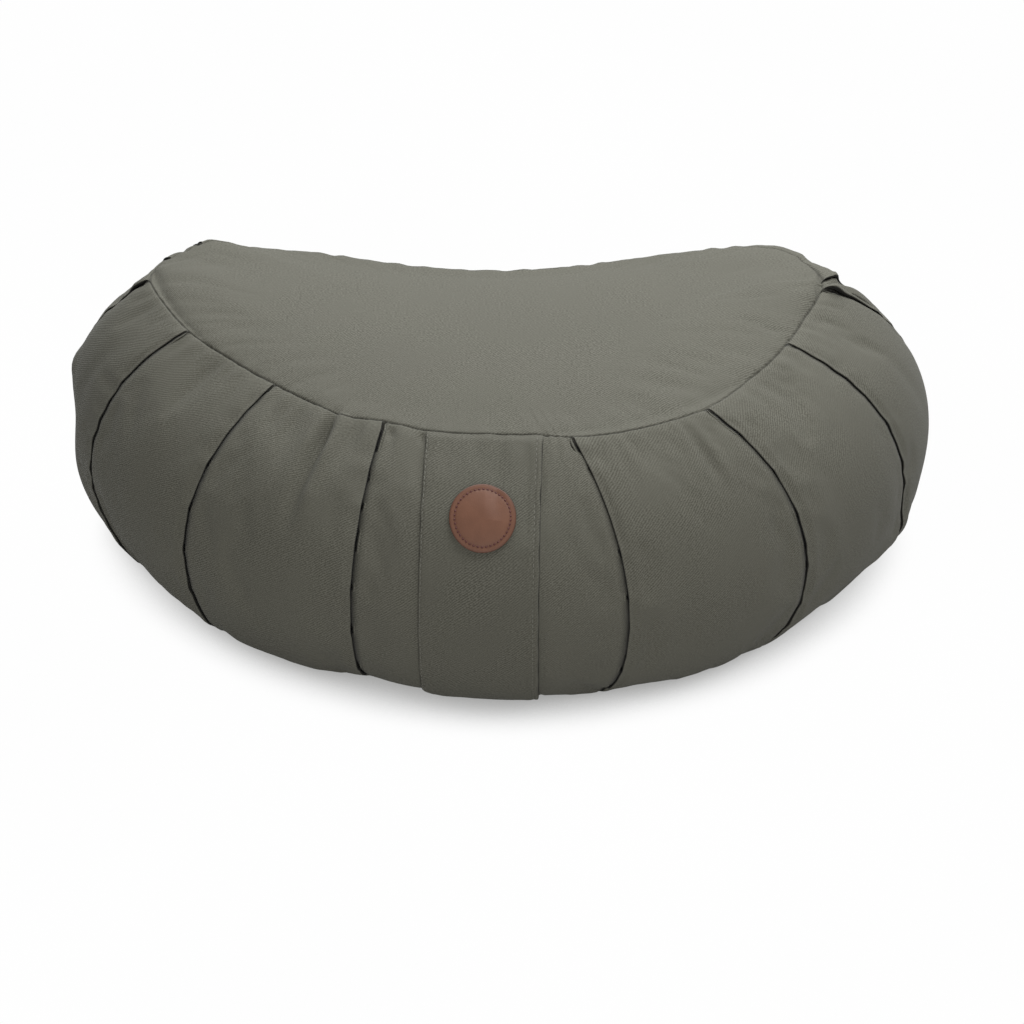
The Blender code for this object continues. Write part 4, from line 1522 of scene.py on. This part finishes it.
@dataclass
class Studio:
    """A white floor, soft light from above and to the right, and the camera of the fitted view."""

    elevation: float = 35.0
    yaw: float = 0.51
    distance: float = 2.02121
    lens: float = 134.38
    bounce: float = 0.45
    sky: float = 0.55
    boxes: tuple[tuple[str, tuple[float, float, float], float], ...] = (
        ("back", (0.0, 0.8, 1.1), 20.0),
        ("over", (0.45, 0.1, 1.25), 16.5),
        ("front", (0.0, -1.4, 0.35), 9.0),
    )
    # The floor's painted contact shadow: its colour, how far the occlusion it follows reaches, and its ramp.
    shade: tuple[float, float, float, float] = (0.30, 0.30, 0.295, 1.0)
    shade_reach: float = 0.05
    shade_from: float = 0.0
    shade_to: float = 0.55
    target: tuple[float, float, float] = (8.46 * MM, 7.64 * MM, 44.29 * MM)

    def floor(self) -> bpy.types.Object:
        """A wide pale floor, faintly uneven in colour, with a painted contact shadow: it glows for the camera and
        darkens softly where the cushion is near.
        """
        bpy.ops.object.select_all(action="DESELECT")
        bpy.ops.mesh.primitive_plane_add(size=14, location=(0, 0, -0.3 * MM))
        piece = bpy.context.object
        piece.name = piece.data.name = "studio_floor"
        bpy.ops.object.transform_apply(location=True, rotation=True, scale=True)
        material, kit, shader = new_material("pale_floor")
        clouds = kit.noise(kit.add("ShaderNodeTexCoord").outputs["Object"], 3.0, 2.0)
        plain = kit.mix(clouds, (0.985, 0.985, 0.985, 1), (1.0, 1.0, 1.0, 1))
        # Painted contact shadow: for the camera, the floor's glow darkens with how much the cushion occludes it nearby.
        near = kit.add("ShaderNodeAmbientOcclusion", samples=24, s_Distance=self.shade_reach)
        open_share = kit.add("ShaderNodeMapRange", interpolation_type="SMOOTHSTEP", s_Value=near.outputs["AO"])
        open_share.inputs["From Min"].default_value = self.shade_from
        open_share.inputs["From Max"].default_value = self.shade_to
        seen = kit.mix(open_share.outputs[0], self.shade, plain)
        shown = kit.add("ShaderNodeLightPath").outputs["Is Camera Ray"]
        links = material.node_tree.links
        links.new(kit.mix(shown, (self.bounce, self.bounce, self.bounce, 1), (0, 0, 0, 1)), shader.inputs["Base Color"])
        links.new(kit.mix(shown, (0, 0, 0, 1), seen), shader.inputs["Emission Color"])
        shader.inputs["Emission Strength"].default_value = 1.0
        shader.inputs["Roughness"].default_value = 0.95
        shader.inputs["Specular IOR Level"].default_value = 0.0
        piece.data.materials.append(material)
        return piece

    def light(self) -> None:
        """Soft boxes behind, above and low in front of the cushion, in an even pale sky."""
        world = bpy.data.worlds.new("studio_air")
        world.use_nodes = True
        nodes, links = world.node_tree.nodes, world.node_tree.links
        sky = nodes["Background"]
        sky.inputs["Color"].default_value = (1.0, 1.0, 1.0, 1.0)
        sky.inputs["Strength"].default_value = self.sky
        white = nodes.new("ShaderNodeBackground")
        white.inputs["Color"].default_value = (1.0, 1.0, 1.0, 1.0)
        choice = nodes.new("ShaderNodeMixShader")
        links.new(nodes.new("ShaderNodeLightPath").outputs["Is Camera Ray"], choice.inputs[0])
        links.new(sky.outputs[0], choice.inputs[1])
        links.new(white.outputs[0], choice.inputs[2])
        links.new(choice.outputs[0], nodes["World Output"].inputs["Surface"])
        bpy.context.scene.world = world
        for name, place, power in self.boxes:
            data = bpy.data.lights.new(name, "AREA")
            data.shape = "SQUARE"
            data.size = 0.9
            data.energy = power
            data.color = (1.0, 0.99, 0.97) if name == "front" else (0.965, 0.98, 1.0)
            lamp = bpy.data.objects.new(name, data)
            bpy.context.scene.collection.objects.link(lamp)
            lamp.visible_camera = False
            lamp.location = place
            lamp.rotation_euler = (Vector((0, 0, 0.08)) - Vector(place)).to_track_quat("-Z", "Y").to_euler()

    def camera(self) -> None:
        """Sets the camera at the fitted place."""
        elevation, yaw = math.radians(self.elevation), math.radians(self.yaw)
        back = Vector((
            math.sin(yaw) * math.cos(elevation), -math.cos(yaw) * math.cos(elevation), math.sin(elevation),
        ))
        data = bpy.data.cameras.new("camera")
        data.lens = self.lens
        data.sensor_width = 36.0
        data.clip_start = 0.05
        data.clip_end = 60.0
        piece = bpy.data.objects.new("camera", data)
        bpy.context.scene.collection.objects.link(piece)
        piece.location = Vector(self.target) + back * self.distance
        piece.rotation_euler = (-back).to_track_quat("-Z", "Y").to_euler()
        bpy.context.scene.camera = piece


@dataclass
class CushionPiece:
    """A finished piece, what it stands for and its finish."""

    piece: bpy.types.Object
    slot: str
    material: bpy.types.Material

    def settle(self, *nodes: str) -> bpy.types.Object:
        """Gives the piece its material, its body and the nodes that it replaces."""
        self.piece.data.materials.clear()
        self.piece.data.materials.append(self.material)
        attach(self.piece, BODY)
        if nodes:
            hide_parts(*nodes)
        return self.piece


def cushion_shape() -> CoverShape:
    """The cover's form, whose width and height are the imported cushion's."""
    low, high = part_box("cushion")
    crown = 12.5 * MM
    half_width = (high.x - low.x) / 2 - 1.05 * MM
    return CoverShape(
        seam=Outline(176.5 * MM, 163 * MM, 40 * MM, 45 * MM, 1.70, 2.11, -0.13, -5.6 * MM, 90.6 * MM),
        widest=Outline(half_width, 202 * MM, 88 * MM, 41.5 * MM, 1.80, 1.99, -0.01, 0.0, 74.6 * MM),
        seam_height=high.z - crown,
        widest_height=65.5 * MM,
        crown=crown,
        tip_rise=3 * MM,
    )


def main() -> None:
    """Builds the cushion, its band, badge and stitches, and the studio."""
    logging.basicConfig(level=logging.INFO, format="%(message)s")
    bpy.context.scene.view_settings.view_transform = "Standard"
    shape = cushion_shape()
    studio = Studio()
    studio.floor()
    studio.light()
    studio.camera()

    weave, mottle = twill_group(), mottle_group()
    cover_twill = TwillFinish("olive_twill", (0.051, 0.0495, 0.0375, 1), (0.094, 0.0915, 0.0740, 1))
    band_twill = TwillFinish("olive_twill_band", (0.047, 0.0456, 0.0345, 1), (0.088, 0.0856, 0.069, 1))
    leather = LeatherFinish("brown_leather", (0.080, 0.0330, 0.0180, 1), (0.124, 0.054, 0.0305, 1), (0.042, 0.0145, 0.0085, 1))
    cloth_thread = ThreadFinish("olive_thread", (0.06, 0.058, 0.047, 1), (0.15, 0.146, 0.12, 1))
    badge_thread = ThreadFinish("russet_thread", (0.034, 0.005, 0.004, 1), (0.072, 0.012, 0.009, 1))

    pressed = FillingRun(shape).run()
    relief = Relief(shape, pressed)
    cover = CushionPiece(Cover(shape, relief).build(), "cover_cloth", cover_twill.material(weave, mottle))
    cover.settle("cushion")

    wrap = Wrap(shape, relief)
    band = FrontBand(wrap)
    band_cloth = band_twill.material(weave, mottle)
    strap = CushionPiece(band.build(), "band_cloth", band_cloth).settle("front_band")

    badge = Badge(wrap, band)
    CushionPiece(badge.build(), "badge_leather", leather.material()).settle("badge")
    ring = Stitching("badge_stitches", 1.25 * MM, 2.08 * MM, 0.92 * MM).run(*badge.stitch_line())
    CushionPiece(ring, "badge_leather", badge_thread.material()).settle()

    thread = cloth_thread.material()
    half = wrap.width() / 2
    fall = np.linspace(2.5 * MM, wrap.length() - band.bottom_clear - 1.5 * MM, 400)
    across, heights = band.profile()
    for name, inset, sign in (("left", band.left_inset, -1), ("right", band.right_inset, 1)):
        place = np.full_like(fall, sign * (half - inset))
        height = band.gap + np.interp(place, across, heights) + 0.05 * MM
        line = wrap.at(place, fall, height)
        lifted = wrap.at(place, fall, height + MM)
        run = Stitching(f"band_stitches_{name}", 2.0 * MM, 2.9 * MM, 0.42 * MM).run(line, (lifted - line) / MM)
        CushionPiece(run, "band_cloth", thread).settle()
    wrap.width()
    wrap.length() - band.bottom_clear


if __name__ == "__main__":
    main()
